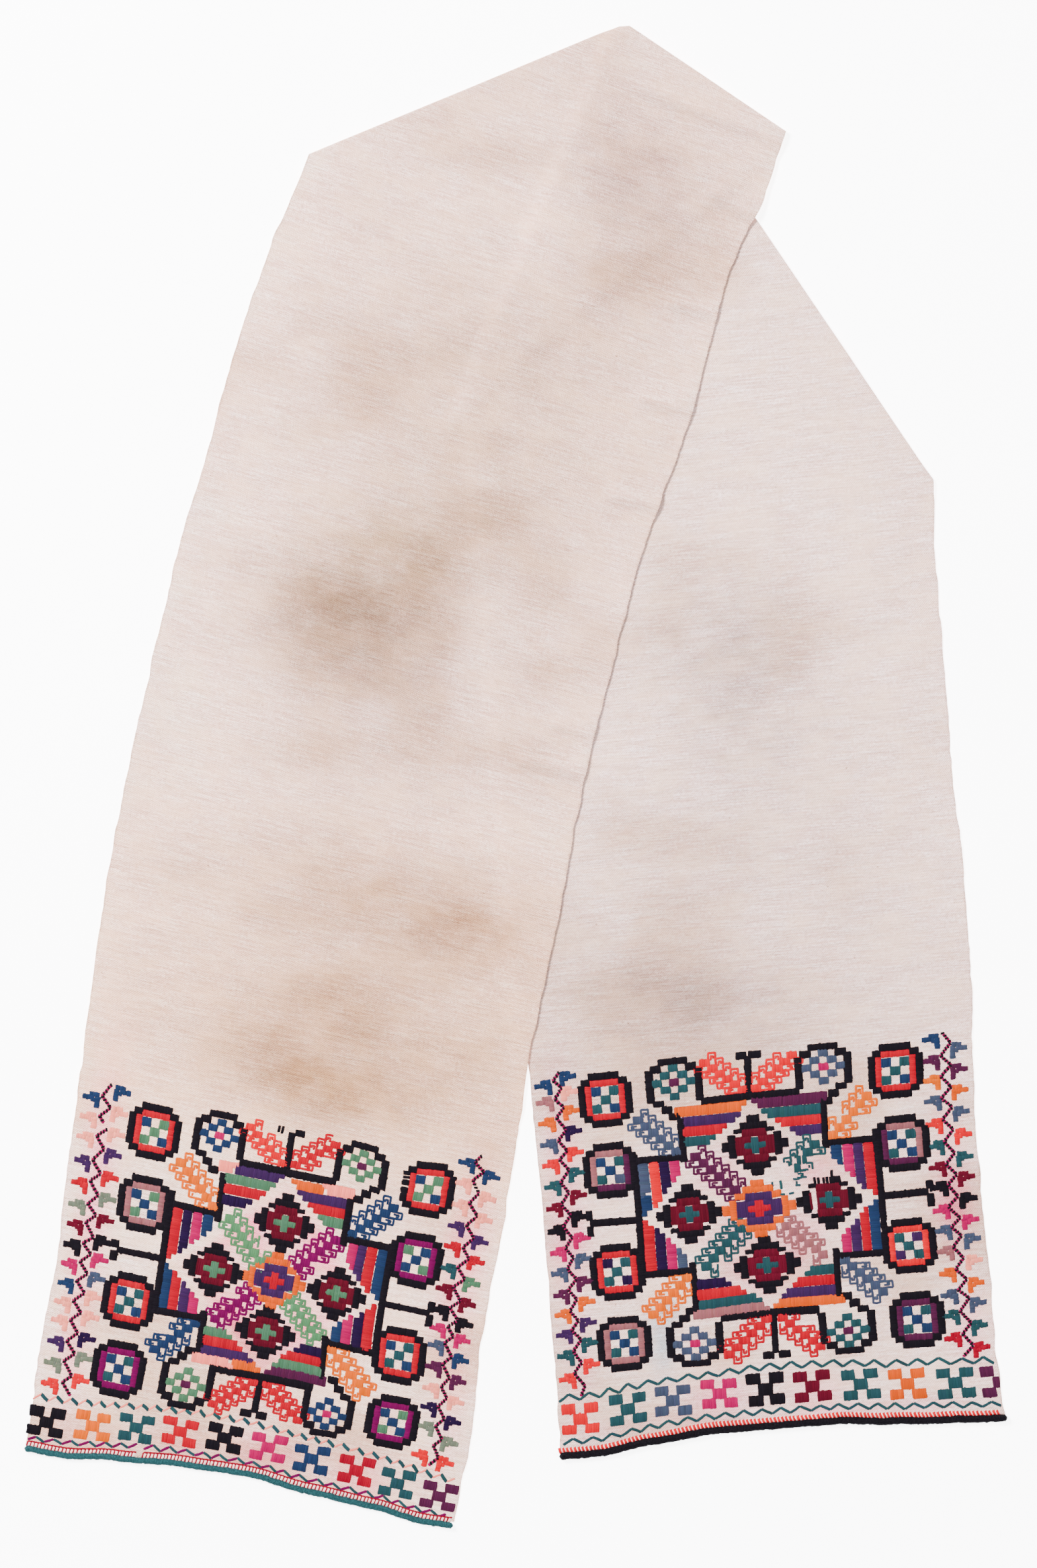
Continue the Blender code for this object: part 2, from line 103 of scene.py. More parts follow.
BACK_RIGHT = (
    Edge(400.0, 315.0, 189.8), Edge(450.0, 319.0, 139.8), Edge(525.0, 325.5, 64.8),
    Edge(600.0, 331.7, -10.3), Edge(675.0, 339.5, -85.2), Edge(750.0, 344.6, -160.3),
    Edge(825.0, 346.1, -235.4), Edge(900.0, 351.7, -310.5), Edge(975.0, 359.3, -385.3),
    Edge(1025.0, 363.1, -435.4), Edge(1077.2, 370.5, -487.2),
)


# ---------------------------------------------------------------- the fold, on arrays
def unit(angle):
    return np.cos(np.radians(angle)), np.sin(np.radians(angle))


def smooth(x):
    x = np.clip(x, 0.0, 1.0)
    return x * x * (3 - 2 * x)


def strip_of(x, y):
    u, r = unit(ALONG), unit(ALONG - 90)
    return x * u[0] + y * u[1], x * r[0] + y * r[1]


def flat_of(station, across):
    u, r = unit(ALONG), unit(ALONG - 90)
    return station * u[0] + across * r[0], station * u[1] + across * r[1]


def turned(x, y, angle, mirrored):
    radius, at = np.hypot(x, y), np.degrees(np.arctan2(y, x))
    c = unit((angle - at) if mirrored else (angle + at))
    return VERTEX[0] + radius * c[0], VERTEX[1] + radius * c[1]


def edge_at(rows, station, rigid):
    station = np.asarray(station, float)
    sign = 1 if rows[-1].station > rows[0].station else -1
    first = rows[0].station
    nodes = [(first - sign * s, *map(float, rigid(np.float64(first - sign * s)))) for s in (80.0, 40.0)]
    nodes += [tuple(r) for r in rows]
    nodes.append(tuple(2 * np.array(nodes[-1]) - np.array(nodes[-2])))
    n = np.array(nodes)
    i = np.clip(np.searchsorted(n[:, 0] * sign, station * sign, side="left") - 1, 1, len(n) - 3)
    a, b, c, d = n[i - 1], n[i], n[i + 1], n[i + 2]
    span = c[..., 0] - b[..., 0]
    h = (station - b[..., 0]) / span
    plain = rigid(station)
    out = []
    for k in (1, 2):
        slope_b = (c[..., k] - a[..., k]) / (c[..., 0] - a[..., 0]) * span
        slope_c = (d[..., k] - b[..., k]) / (d[..., 0] - b[..., 0]) * span
        curve = (
            (2 * h**3 - 3 * h**2 + 1) * b[..., k] + (h**3 - 2 * h**2 + h) * slope_b
            + (-2 * h**3 + 3 * h**2) * c[..., k] + (h**3 - h**2) * slope_c
        )
        out.append(np.where((station - first) * sign <= -40, plain[k - 1], curve))
    return out


def off_crease(x, y, crease):
    c = unit(crease.flat)
    return x * c[0] + y * c[1], -x * c[1] + y * c[0]


def laid_arm(x, y, left, right, angle, creases):
    station, across = strip_of(x, y)
    plain = turned(x, y, angle, False)
    share = (across + STRIP_LEFT) / (STRIP_LEFT + STRIP_RIGHT)
    a = edge_at(left, station, lambda s: turned(*flat_of(s, -STRIP_LEFT), angle, False))
    b = edge_at(right, station, lambda s: turned(*flat_of(s, STRIP_RIGHT), angle, False))
    near = np.full(np.shape(x), 1e9)
    for crease in creases:
        along, off = off_crease(x, y, crease)
        near = np.minimum(near, np.where(along > 0, np.abs(off), np.hypot(x, y)))
    ease = smooth(near / 34.0)
    return [p + ease * (m + share * (n - m) - p) for p, m, n in zip(plain, a, b)]


def past(x, y, origin, angle, side):
    c = unit(angle)
    return -side * ((x - origin[0]) * -c[1] + (y - origin[1]) * c[0])


def held_up(distance, ramp):
    return 1.0 - smooth((distance - EDGE_CLEAR) / ramp)


def corner(crease):
    c = unit(crease.folded)
    return VERTEX[0] + crease.length * c[0], VERTEX[1] + crease.length * c[1]


A, B, D, C = (corner(c) for c in CREASES)


def line_angle(p, q):
    return np.degrees(np.arctan2(q[1] - p[1], q[0] - p[0]))


def over_bottom(x, y):
    return (
        held_up(past(x, y, A, line_angle(A, C), 1), SOFT_RAMP)
        * held_up(past(x, y, VERTEX, CREASES[3].folded, -1), FLAP_RAMP)
    )


def back_left_x(y):
    rows = np.array(BACK_LEFT)
    i = np.clip(np.searchsorted(-rows[:, 2], -y, side="left") - 1, 0, len(rows) - 2)
    a, b = rows[i], rows[i + 1]
    return a[..., 1] + (b[..., 1] - a[..., 1]) * (y - a[..., 2]) / (b[..., 2] - a[..., 2])


def over_back(x, y):
    value = held_up(past(x, y, VERTEX, CREASES[3].folded, -1), FLAP_RAMP)
    value = value * held_up(past(x, y, VERTEX, CREASES[2].folded, 1), STEP_RAMP)
    return value * np.where(y < D[1] + 40, held_up(back_left_x(y) - x, STEP_RAMP), 1.0)


def over_flap(x, y):
    return (
        held_up(past(x, y, VERTEX, CREASES[2].folded, 1), STEP_RAMP)
        * held_up(past(x, y, D, line_angle(D, B), 1), STEP_RAMP)
    )


def height(layer, x, y):
    z = CLOTH_THICK / 2 + 0 * x
    if layer <= 3:
        z = z + LAYER_PITCH * over_bottom(x, y)
    if layer <= 2:
        z = z + LAYER_PITCH * over_back(x, y)
    if layer == 1:
        z = z + LAYER_PITCH * over_flap(x, y)
    return z + relief(layer, x, y)


def sector_of(x, y):
    at = np.degrees(np.arctan2(y, x)) % 360
    layer = np.full(np.shape(x), 2)
    layer[(at >= 202.5) & (at <= 326.3)] = 1
    layer[(at > 44.7) & (at <= 100.9)] = 3
    layer[(at > 100.9) & (at < 202.5)] = 4
    return layer


def on_plane(layer, x, y):
    if layer == 1:
        return laid_arm(x, y, FRONT_LEFT, FRONT_RIGHT, 0.0, CREASES[:2])
    if layer == 2:
        return turned(x, y, 652.6, True)
    if layer == 3:
        return laid_arm(x, y, BACK_RIGHT, BACK_LEFT, -156.8, CREASES[2:])
    return turned(x, y, 765.0, True)


def folded(x, y):
    """Where points of the unfolded cloth lie: the middle surface of the sheet."""
    out = np.zeros((len(x), 3))
    layers = sector_of(x, y)
    for layer in (1, 2, 3, 4):
        m = layers == layer
        px, py = on_plane(layer, x[m], y[m])
        out[m] = np.stack([px, py, height(layer, px, py)], 1)
    done = np.zeros(len(x), bool)
    for crease in CREASES:
        along, off = off_crease(x, y, crease)
        m = (along > 0) & (np.abs(off) <= 12) & ~done
        if not m.any():
            continue
        index = np.flatnonzero(m)
        along, off = along[m], off[m]
        upper, lower = UPPER_LOWER[crease.name]
        c, n = unit(crease.folded), unit(crease.inward)
        reach = np.full(len(along), np.pi * LAYER_PITCH / 4)
        for _ in range(4):
            px = VERTEX[0] + along * c[0] + reach * n[0]
            py = VERTEX[1] + along * c[1] + reach * n[1]
            top, low = height(upper, px, py), height(lower, px, py)
            radius = (top - low) / 2
            reach = np.pi * radius / 2
        k = np.abs(off) < reach
        turn = off[k] * crease.upper_side / radius[k]
        inward = reach[k] - radius[k] * np.cos(turn)
        out[index[k]] = np.stack([
            VERTEX[0] + along[k] * c[0] + inward * n[0],
            VERTEX[1] + along[k] * c[1] + inward * n[1],
            (top[k] + low[k]) / 2 + radius[k] * np.sin(turn),
        ], 1)
        done[index[k]] = True
    return out


def placed(p):
    p = np.asarray(p, float)
    return (p - np.array([CENTRE[0], CENTRE[1], 0.0])) * MM


def hem_station(across, end):
    share = (np.asarray(across, float) + STRIP_LEFT) / (STRIP_LEFT + STRIP_RIGHT)
    rows = np.array(FRONT_HEM if end == "front" else BACK_HEM)
    share = share if end == "front" else 1 - share
    i = np.clip(np.searchsorted(rows[:, 0], share, side="left") - 1, 0, len(rows) - 2)
    a, b = rows[i], rows[i + 1]
    return a[..., 1] + (b[..., 1] - a[..., 1]) * smooth((share - a[..., 0]) / (b[..., 0] - a[..., 0]))


# ---------------------------------------------------------------- seeded noise
LATTICE = RNG.random((256, 256))


def noise(x, y, cell_x, cell_y, shift=0.0):
    """Smooth noise in 0..1 with cells of the given sizes."""
    u, v = np.asarray(x) / cell_x + shift * 7.31, np.asarray(y) / cell_y + shift * 3.77
    i, j = np.floor(u).astype(int), np.floor(v).astype(int)
    fu, fv = smooth(u - i), smooth(v - j)

    def at(a, b):
        return LATTICE[a % 256, b % 256]

    top = at(i, j) * (1 - fu) + at(i + 1, j) * fu
    low = at(i, j + 1) * (1 - fu) + at(i + 1, j + 1) * fu
    return top * (1 - fv) + low * fv


# ---------------------------------------------------------------- soft relief of the laid cloth
# Ridges are laid in the plane, in mm: from (x0, y0) to (x1, y1), this high and this wide at half
# height. "layers" says which layers they lift: "all", or "front" for the front arm alone.
Ridge = namedtuple("Ridge", "x0 y0 x1 y1 rise wide layers")
RIDGES = (
    Ridge(90, 520, 204, 478, 1.6, 9, "front"), Ridge(0, 12, 53, 1, 1.4, 8, "front"),
    Ridge(150, 440, 182, 420, 2.2, 8, "front"), Ridge(118, 358, 153, 348, 1.6, 8, "front"),
    Ridge(95, 285, 134, 276, 1.8, 9, "front"), Ridge(70, 212, 112, 203, 1.8, 9, "front"),
    Ridge(28, 40, 62, 31, 1.4, 9, "front"),
)


def relief(layer, x, y):
    z = 1.1 * noise(x, y, 95, 60, 1) ** 2 + 0.5 * noise(x, y, 38, 26, 2) ** 2
    for r in RIDGES:
        if r.layers == "front" and layer != 1:
            continue
        ax, ay = r.x1 - r.x0, r.y1 - r.y0
        size = np.hypot(ax, ay)
        t = ((x - r.x0) * ax + (y - r.y0) * ay) / size**2
        off = ((x - r.x0) * -ay + (y - r.y0) * ax) / size
        taper = np.exp(-np.maximum(0, np.abs(t - 0.5) - 0.35) ** 2 / 0.03)
        z = z + r.rise * taper * np.exp(-((off / r.wide) ** 2))
    return z


# ---------------------------------------------------------------- the linen sheet
Net = namedtuple("Net", "along across")
FINE = Net(3.2, 5.6)
COARSE = Net(12.0, 13.0)


def spread(a, b, step):
    return np.linspace(a, b, max(1, round(abs(b - a) / step)) + 1)


def sheet_net():
    """Points and faces of the flat strip, close together where the cloth shows."""
    points, edges = [], []

    def add_line(xy, close=False):
        first = len(points)
        points.extend(map(tuple, xy))
        edges.extend((first + i, first + i + 1) for i in range(len(xy) - 1))
        if close:
            edges.append((first + len(xy) - 1, first))

    across = spread(-STRIP_LEFT, STRIP_RIGHT, FINE.across)
    f0, b0 = hem_station(STRIP_RIGHT, "front"), hem_station(STRIP_RIGHT, "back")
    f1, b1 = hem_station(-STRIP_LEFT, "front"), hem_station(-STRIP_LEFT, "back")
    right, left = spread(f0, b0, FINE.along)[1:-1], spread(b1, f1, FINE.along)[1:-1]
    rim = np.concatenate([
        np.stack([hem_station(across, "front"), across], 1),
        np.stack([right, np.full(len(right), STRIP_RIGHT)], 1),
        np.stack([hem_station(across, "back"), across], 1)[::-1],
        np.stack([left, np.full(len(left), -STRIP_LEFT)], 1),
    ])
    add_line(np.stack(flat_of(rim[:, 0], rim[:, 1]), 1), close=True)

    for crease in CREASES:
        c = unit(crease.flat)
        seen = crease.name in ("outer_left", "flap", "outer_right")
        for share in (-1.0, -0.62, -0.3, 0.0, 0.3, 0.62, 1.0):
            along = spread(5.0, crease.length + 3, 4.0 if seen else 9.0)
            fade = 1 - smooth((along - 4) / 22)
            widest = 3 if crease.name == "outer_left" else 1
            off = share * 1.04 * np.pi * LAYER_PITCH / 4 * (1 + (widest - 1) * fade)
            add_line(np.stack([along * c[0] - off * c[1], along * c[1] + off * c[0]], 1))

    def grid(step_s, step_t, shift):
        s = spread(float(FRONT_HEM[4].station) - 12, float(BACK_HEM[4].station) + 12, step_s)
        t = spread(-STRIP_LEFT, STRIP_RIGHT, step_t)[1:-1]
        s, t = np.meshgrid(s, t, indexing="ij")
        s, t = s.ravel(), (t + (np.arange(len(s)) % 2)[:, None] * shift).ravel()
        x, y = flat_of(s, t)
        keep = (s > hem_station(t, "front") + 1.6) & (s < hem_station(t, "back") - 1.6)
        keep &= (t > -STRIP_LEFT + 1.5) & (t < STRIP_RIGHT - 1.5)
        for crease in CREASES:
            along, off = off_crease(x, y, crease)
            keep &= (along < -2) | (np.abs(off) > 3.4)
        return x[keep], y[keep], s[keep]

    x, y, s = grid(FINE.along, FINE.across, FINE.across / 2)
    layer = sector_of(x, y)
    px, py = on_plane(3, x, y)
    shown = (layer == 1) | ((layer == 3) & (s > 190) & (px > back_left_x(py) - 400))
    points.extend(zip(x[shown], y[shown]))
    x, y, s = grid(COARSE.along, COARSE.across, 0.0)
    layer = sector_of(x, y)
    hidden = ~((layer == 1) | ((layer == 3) & (s > 190)))
    points.extend(zip(x[hidden], y[hidden]))
    found, _, faces, *_ = delaunay_2d_cdt([Vector(p) for p in points], edges, [], 0, 1e-5)
    xy = np.array([(p.x, p.y) for p in found])
    faces = np.array([f for f in faces])
    centre = xy[faces].mean(axis=1)
    s, t = strip_of(centre[:, 0], centre[:, 1])
    keep = (t > -STRIP_LEFT) & (t < STRIP_RIGHT)
    keep &= (s > hem_station(t, "front")) & (s < hem_station(t, "back"))
    faces = faces[keep]
    used = np.unique(faces)
    renumber = np.zeros(len(xy), int)
    renumber[used] = np.arange(len(used))
    return xy[used], renumber[faces]


def mesh_of(name, vertices, faces, collection=None):
    mesh = bpy.data.meshes.new(name)
    mesh.vertices.add(len(vertices))
    mesh.vertices.foreach_set("co", np.asarray(vertices, np.float32).ravel())
    sizes = np.full(len(faces), faces.shape[1])
    mesh.loops.add(int(sizes.sum()))
    mesh.loops.foreach_set("vertex_index", faces.ravel().astype(np.int32))
    mesh.polygons.add(len(faces))
    mesh.polygons.foreach_set("loop_start", (np.arange(len(faces)) * faces.shape[1]).astype(np.int32))
    mesh.polygons.foreach_set("loop_total", sizes.astype(np.int32))
    mesh.update(calc_edges=True)
    mesh.validate()
    mesh.shade_smooth()
    obj = bpy.data.objects.new(name, mesh)
    bpy.context.scene.collection.objects.link(obj)
    return obj


def add_colour(obj, name, rgb):
    layer = obj.data.color_attributes.new(name, "FLOAT_COLOR", "POINT")
    rgba = np.ones((len(obj.data.vertices), 4), np.float32)
    rgba[:, :3] = rgb
    layer.data.foreach_set("color", rgba.ravel())


def add_uv(obj, name, uv):
    layer = obj.data.uv_layers.new(name=name)
    index = np.empty(len(obj.data.loops), np.int32)
    obj.data.loops.foreach_get("vertex_index", index)
    layer.data.foreach_set("uv", np.asarray(uv, np.float32)[index].ravel())


# ---------------------------------------------------------------- the chart's place on the cloth
WIDE = 677.0
FRONT_ZERO = -1151.15
BACK_ZERO = 1077.2

# The embroidery isn't square to the cloth everywhere: its rows rise this much towards the right about here.
Slant = namedtuple("Slant", "end w d reach_w reach_d slope")
SLANTS = (
    Slant("front", 552, 540, 70, 45, 0.085), Slant("front", 552, 435, 60, 30, 0.03),
    Slant("front", 400, 470, 60, 30, 0.05), Slant("front", 120, 50, 120, 30, 0.07),
    Slant("front", 550, 55, 110, 40, -0.05), Slant("front", 440, 195, 110, 70, -0.05),
    Slant("back", 560, 50, 120, 40, -0.03), Slant("back", 120, 60, 120, 50, 0.07),
    Slant("back", 110, 400, 60, 40, 0.02), Slant("back", 270, 205, 90, 40, 0.06),
)


def chart_point(end, w, d):
    """The point of the plane under a place on the chart."""
    w, d = np.asarray(w, float), np.asarray(d, float)
    rise = 0 * w
    for s in SLANTS:
        if s.end == end:
            near = np.exp(-(((w - s.w) / s.reach_w) ** 2) - ((d - s.d) / s.reach_d) ** 2)
            rise = rise + s.slope * (w - s.w) * near
    seed = 11 if end == "front" else 17
    d = d + rise + 3.0 * (noise(w, d, 90, 60, seed) - 0.5)
    w = w + 3.0 * (noise(w, d, 70, 80, seed + 3) - 0.5)
    share = w / WIDE
    if end == "front":
        station = FRONT_ZERO + d / 2
        a, b = edge_at(FRONT_LEFT, station, lambda s: (s, s)), edge_at(FRONT_RIGHT, station, lambda s: (s, s))
    else:
        station = BACK_ZERO - d / 2
        a, b = edge_at(BACK_LEFT, station, lambda s: (s, s)), edge_at(BACK_RIGHT, station, lambda s: (s, s))
    return a[0] + share * (b[0] - a[0]), a[1] + share * (b[1] - a[1])


def on_cloth(end, w, d):
    x, y = chart_point(end, w, d)
    return x, y, height(1 if end == "front" else 3, x, y)


# ---------------------------------------------------------------- yarn colours, as reflectances
YARNS = {
    "black": (0.00376, 0.00272, 0.00448),
    "red": (0.21500, 0.00020, 0.00750),
    "scarlet": (0.24500, 0.00030, 0.00750),
    "coral": (0.36000, 0.00060, 0.00600),
    "crimson": (0.16500, 0.00030, 0.00900),
    "dark_red": (0.05400, 0.00200, 0.00800),
    "maroon": (0.04600, 0.00200, 0.00680),
    "orange": (0.36000, 0.04000, 0.00010),
    "light_orange": (0.40000, 0.05800, 0.00010),
    "peach": (0.62000, 0.12000, 0.09000),
    "pale_peach": (0.58000, 0.15000, 0.11000),
    "hot_pink": (0.21500, 0.00010, 0.04200),
    "magenta": (0.07360, 0.00024, 0.03200),
    "purple": (0.02000, 0.00640, 0.03200),
    "plum": (0.03600, 0.00480, 0.02080),
    "indigo": (0.00776, 0.00240, 0.01680),
    "blue": (0.00640, 0.01440, 0.04000),
    "slate": (0.02280, 0.02920, 0.05120),
    "teal": (0.00776, 0.02800, 0.03280),
    "green": (0.03080, 0.07840, 0.04200),
    "sage": (0.06720, 0.08000, 0.05600),
    "mauve": (0.14880, 0.04800, 0.05280),
    "dusty": (0.26000, 0.08500, 0.07500),
    "white": (0.88000, 0.64000, 0.60800),
    "mint": (0.04000, 0.11200, 0.04800),
    "pale_pink": (0.80000, 0.48000, 0.44000),
    "cerise": (0.15000, 0.00030, 0.03600),
}
NAMES = list(YARNS)
PALETTE = np.array([YARNS[n] for n in NAMES], float)

# ---------------------------------------------------------------- gathering stitches
YARN = 3.0          # spacing of yarns lain side by side, in chart steps
PLUMP = 1.55        # how much wider than its spacing a yarn is, so that they press together
FINE_YARN = 3.7


class Stitches:
    """Straight stitches waiting to be made into one mesh."""

    def __init__(self, end):
        self.end = end
        self.rows = []   # w0 d0 w1 d1 width rise colour_index
        self.beds = []   # w0 d0 w1 d1 colour_index

    def add(self, w0, d0, w1, d1, width, rise, colour):
        self.rows.append((w0, d0, w1, d1, width, rise, NAMES.index(colour)))

    def line(self, points, colour, width=FINE_YARN, rise=0.5, step=7.0):
        """Back stitches end to end along a bent line."""
        for (w0, d0), (w1, d1) in zip(points, points[1:]):
            size = np.hypot(w1 - w0, d1 - d0)
            n = max(1, round(size / step))
            for i in range(n):
                a, b = i / n, (i + 1) / n
                over = 0.9 / size
                a, b = a - over, b + over
                self.add(w0 + (w1 - w0) * a, d0 + (d1 - d0) * a, w0 + (w1 - w0) * b, d0 + (d1 - d0) * b,
                         width, rise, colour)

    def block(self, w0, d0, w1, d1, colour, way="v", rise=0.75):
        """Flat stitches side by side that fill a rectangle, upright ("v") or level ("h")."""
        w0, w1, d0, d1 = min(w0, w1), min(max(w0, w1), WIDE - 1), min(d0, d1), max(d0, d1)
        if w1 - w0 < 2:
            return
        if colour == "black":
            w0, w1, d0, d1 = w0 - 0.8, w1 + 0.8, d0 - 0.8, d1 + 0.8
        span = (w1 - w0) if way == "v" else (d1 - d0)
        n = max(1, round(span / (YARN * 0.92)))
        pitch = span / n
        lean = RNG.normal(0, 0.35)
        self.beds.append((w0, d0, w1, d1, NAMES.index(colour)))
        for i in range(n):
            at = (i + 0.5) * pitch
            ragged = RNG.normal(0, 0.5, 2) + np.array([-0.35, 0.35])
            wander = RNG.normal(0, 0.22)
            size = YARN * PLUMP * RNG.uniform(0.92, 1.1)
            if way == "v":
                self.add(w0 + at + wander, d0 + ragged[0], w0 + at + wander + lean, d1 + ragged[1], size, rise, colour)
            else:
                self.add(w0 + ragged[0], d0 + at + wander, w1 + ragged[1], d0 + at + wander + lean, size, rise, colour)


# ---------------------------------------------------------------- motifs
def bar(s, w0, w1, d0, d1, colour):
    """An outline bar, stitched across its narrow way."""
    s.block(w0, d0, w1, d1, colour, "v" if abs(w1 - w0) > abs(d1 - d0) else "h")


Roundel = namedtuple("Roundel", "w d top left right low tl tr mid bl br")


def roundel(s, r):
    for k in (-1, 1):
        bar(s, r.w - 22.5, r.w + 22.5, r.d + k * 31, r.d + k * 41, "black")
        bar(s, r.w + k * 31, r.w + k * 41, r.d - 23, r.d + 23, "black")
        for j in (-1, 1):
            s.block(r.w + k * 22, r.d + j * 23, r.w + k * 34, r.d + j * 32, "black")
        bar(s, r.w - 21.5, r.w + 21.5, r.d + k * 21, r.d + k * 30.5, r.top if k > 0 else r.low)
        bar(s, r.w + k * 21, r.w + k * 30.5, r.d - 22, r.d + 22, r.left if k < 0 else r.right)
    for dw, dd, colour in ((-14, 13.3, r.tl), (14, 13.3, r.tr), (0, 0, r.mid), (-14, -13.3, r.bl), (14, -13.3, r.br)):
        s.block(r.w + dw - 7.3, r.d + dd - 6.8, r.w + dw + 7.3, r.d + dd + 6.8, colour)


Flower = namedtuple("Flower", "w d ring centre side up")


def hook_flower(s, f):
    """A checked flower in a black hook: side and up say which outer corner of the medallion it fills."""
    k = 1.0 if s.end == "front" else 1.07
    cell_w, cell_d = (12.1, 9.9) if s.end == "front" else (13.2, 10.6)

    def b(w0, w1, d0, d1):
        bar(s, f.w + f.side * w0 * k, f.w + f.side * w1 * k, f.d + f.up * d0, f.d + f.up * d1, "black")

    b(-20, 20, 26.5, 35)
    b(-32, -18, 16, 26)
    b(18, 32, 16, 26)
    b(29.5, 40, -27, 18)
    b(-41, -31, -29, 17)
    b(17, 31, -35, -27)
    b(6, 19, -46, -36)
    b(-5, 9, -56.5, -47)
    for i in range(-2, 3):
        for j in range(-2, 3):
            if abs(i) + abs(j) == 2 or (i == 0 and j == 0):
                colour = f.centre if i == j == 0 else f.ring
                w, d = f.w + i * cell_w, f.d + j * cell_d
                s.block(w - cell_w * 0.54, d - cell_d * 0.52, w + cell_w * 0.54, d + cell_d * 0.52, colour)


Lozenge = namedtuple("Lozenge", "w d inner cross wide tall")


def lozenge(s, z):
    """A stepped black lozenge with a filled middle and a small cross."""
    for k in (-1, 1):
        s.block(z.w + k * 41 * z.wide, z.d - 6, z.w + k * 51 * z.wide, z.d + 6, "black", "h")
        s.block(z.w + k * 30 * z.wide, z.d - 16 * z.tall, z.w + k * 41 * z.wide, z.d + 16 * z.tall, "black", "h")
        s.block(z.w - 30 * z.wide, z.d + k * 20 * z.tall, z.w - 19 * z.wide, z.d + k * 25 * z.tall, "black")
        s.block(z.w + 30 * z.wide, z.d + k * 20 * z.tall, z.w + 19 * z.wide, z.d + k * 25 * z.tall, "black")
        s.block(z.w - 20 * z.wide, z.d + k * 25 * z.tall, z.w + 20 * z.wide, z.d + k * 34 * z.tall, "black")
        s.block(z.w - 8.5 * z.wide, z.d + k * 34 * z.tall, z.w + 8.5 * z.wide, z.d + k * 44 * z.tall, "black")
        s.block(z.w - 19 * z.wide, z.d + k * 13 * z.tall, z.w + 19 * z.wide, z.d + k * 25 * z.tall, z.inner)
        s.block(z.w + k * 16, z.d - 14 * z.tall, z.w + k * 30 * z.wide, z.d + 14 * z.tall, z.inner)
        s.block(z.w + k * 6, z.d + 4, z.w + k * 17, z.d + 14 * z.tall, z.inner)
        s.block(z.w + k * 6, z.d - 4, z.w + k * 17, z.d - 14 * z.tall, z.inner)
    s.block(z.w - 17, z.d - 4.5, z.w + 17, z.d + 4.5, z.cross, rise=0.95)
    s.block(z.w - 5.5, z.d - 12.5, z.w + 5.5, z.d + 12.5, z.cross, rise=1.0)


def middle(s, w, d, wide):
    """The orange, purple and red figure at the centre of the medallion."""
    for k in (-1, 1):
        s.block(w - 9 * wide, d + k * 33, w + 9 * wide, d + k * 44, "orange")
        s.block(w + k * 43 * wide, d - 7, w + k * 54 * wide, d + 7, "orange", "h")
        s.block(w + k * 33 * wide, d - 15, w + k * 43 * wide, d + 15, "orange", "h")
        s.block(w - 9 * wide, d + k * 25, w + 9 * wide, d + k * 34, "orange")
        for j in (-1, 1):
            s.block(w + j * 9 * wide, d + k * 24.5, w + j * 22 * wide, d + k * 35, "orange")
            s.block(w + j * 20 * wide, d + k * 14.5, w + j * 34 * wide, d + k * 25, "orange")
        s.block(w - 19 * wide, d + k * 12, w + 19 * wide, d + k * 24.5, "purple")
        s.block(w + k * 14 * wide, d - 12.5, w + k * 33 * wide, d + 12.5, "purple")
        s.block(w + k * 6 * wide, d + 4.5, w + k * 15 * wide, d + 12.5, "purple")
        s.block(w + k * 6 * wide, d - 4.5, w + k * 15 * wide, d - 12.5, "purple")
    s.block(w - 17 * wide, d - 5, w + 17 * wide, d + 5, "red", rise=0.9)
    s.block(w - 6 * wide, d - 14, w + 6 * wide, d + 14, "red", rise=0.95)


Leaf = namedtuple("Leaf", "w0 w1 d0 d1 corner colour tail")


def leaf(s, f):
    """A slanting row of squares flanked by open boxes with hooks in them, from its outer corner inwards."""
    n = 6
    span_w = (n - 1) * 11 + (32 if f.tail else 22.5)
    span_d = (n - 1) * 10.4 + (31 if f.tail else 23)
    kw, kd = (f.w1 - f.w0) / span_w, (f.d1 - f.d0) / span_d

    def at(u, v):
        w = f.w0 + u * kw if f.corner[1] == "l" else f.w1 - u * kw
        return w, f.d1 + v * kd if f.corner[0] == "t" else f.d0 - v * kd

    for i in range(n):
        u, v = 16 + 11 * i, -17 - 10.4 * i
        a, b = at(u - 7.4, v - 6.6), at(u + 7.4, v + 6.6)
        s.block(a[0], a[1], b[0], b[1], f.colour)
        if i == n - 1 and not f.tail:
            continue
        if RNG.random() < 0.93:
            s.line([at(u + 5.6, v + 5), at(u + 5.6, v + 16), at(u + 16, v + 16), at(u + 16, v - 1)], f.colour)
            s.line([at(u + 9.2, v + 4), at(u + 9.2, v + 10.5), at(u + 12.8, v + 10.5), at(u + 12.8, v + 7)], f.colour, 3.4)
        if RNG.random() < 0.93:
            s.line([at(u - 6, v - 5.4), at(u - 15.6, v - 5.4), at(u - 15.6, v - 14.6), at(u + 5.5, v - 14.6)], f.colour)
            s.line([at(u - 3, v - 9), at(u - 10.5, v - 9), at(u - 10.5, v - 12), at(u - 7, v - 12)], f.colour, 3.4)


Cross = namedtuple("Cross", "w d colour")


def cross_motif(s, x, wide, tall):
    """Five blocks set like the spots on a five."""
    a, b = wide / 2, tall / 2
    bw, bd = wide * 0.37, tall * 0.325
    for k in (-1, 1):
        for j in (-1, 1):
            jog = RNG.normal(0, 0.6, 2)
            s.block(x.w + k * a - k * bw + jog[0], x.d + j * b - j * bd + jog[1], x.w + k * a + jog[0], x.d + j * b + jog[1], x.colour)
    s.block(x.w - bw / 2, x.d - bd / 2 - 1, x.w + bw / 2, x.d + bd / 2 + 1, x.colour)


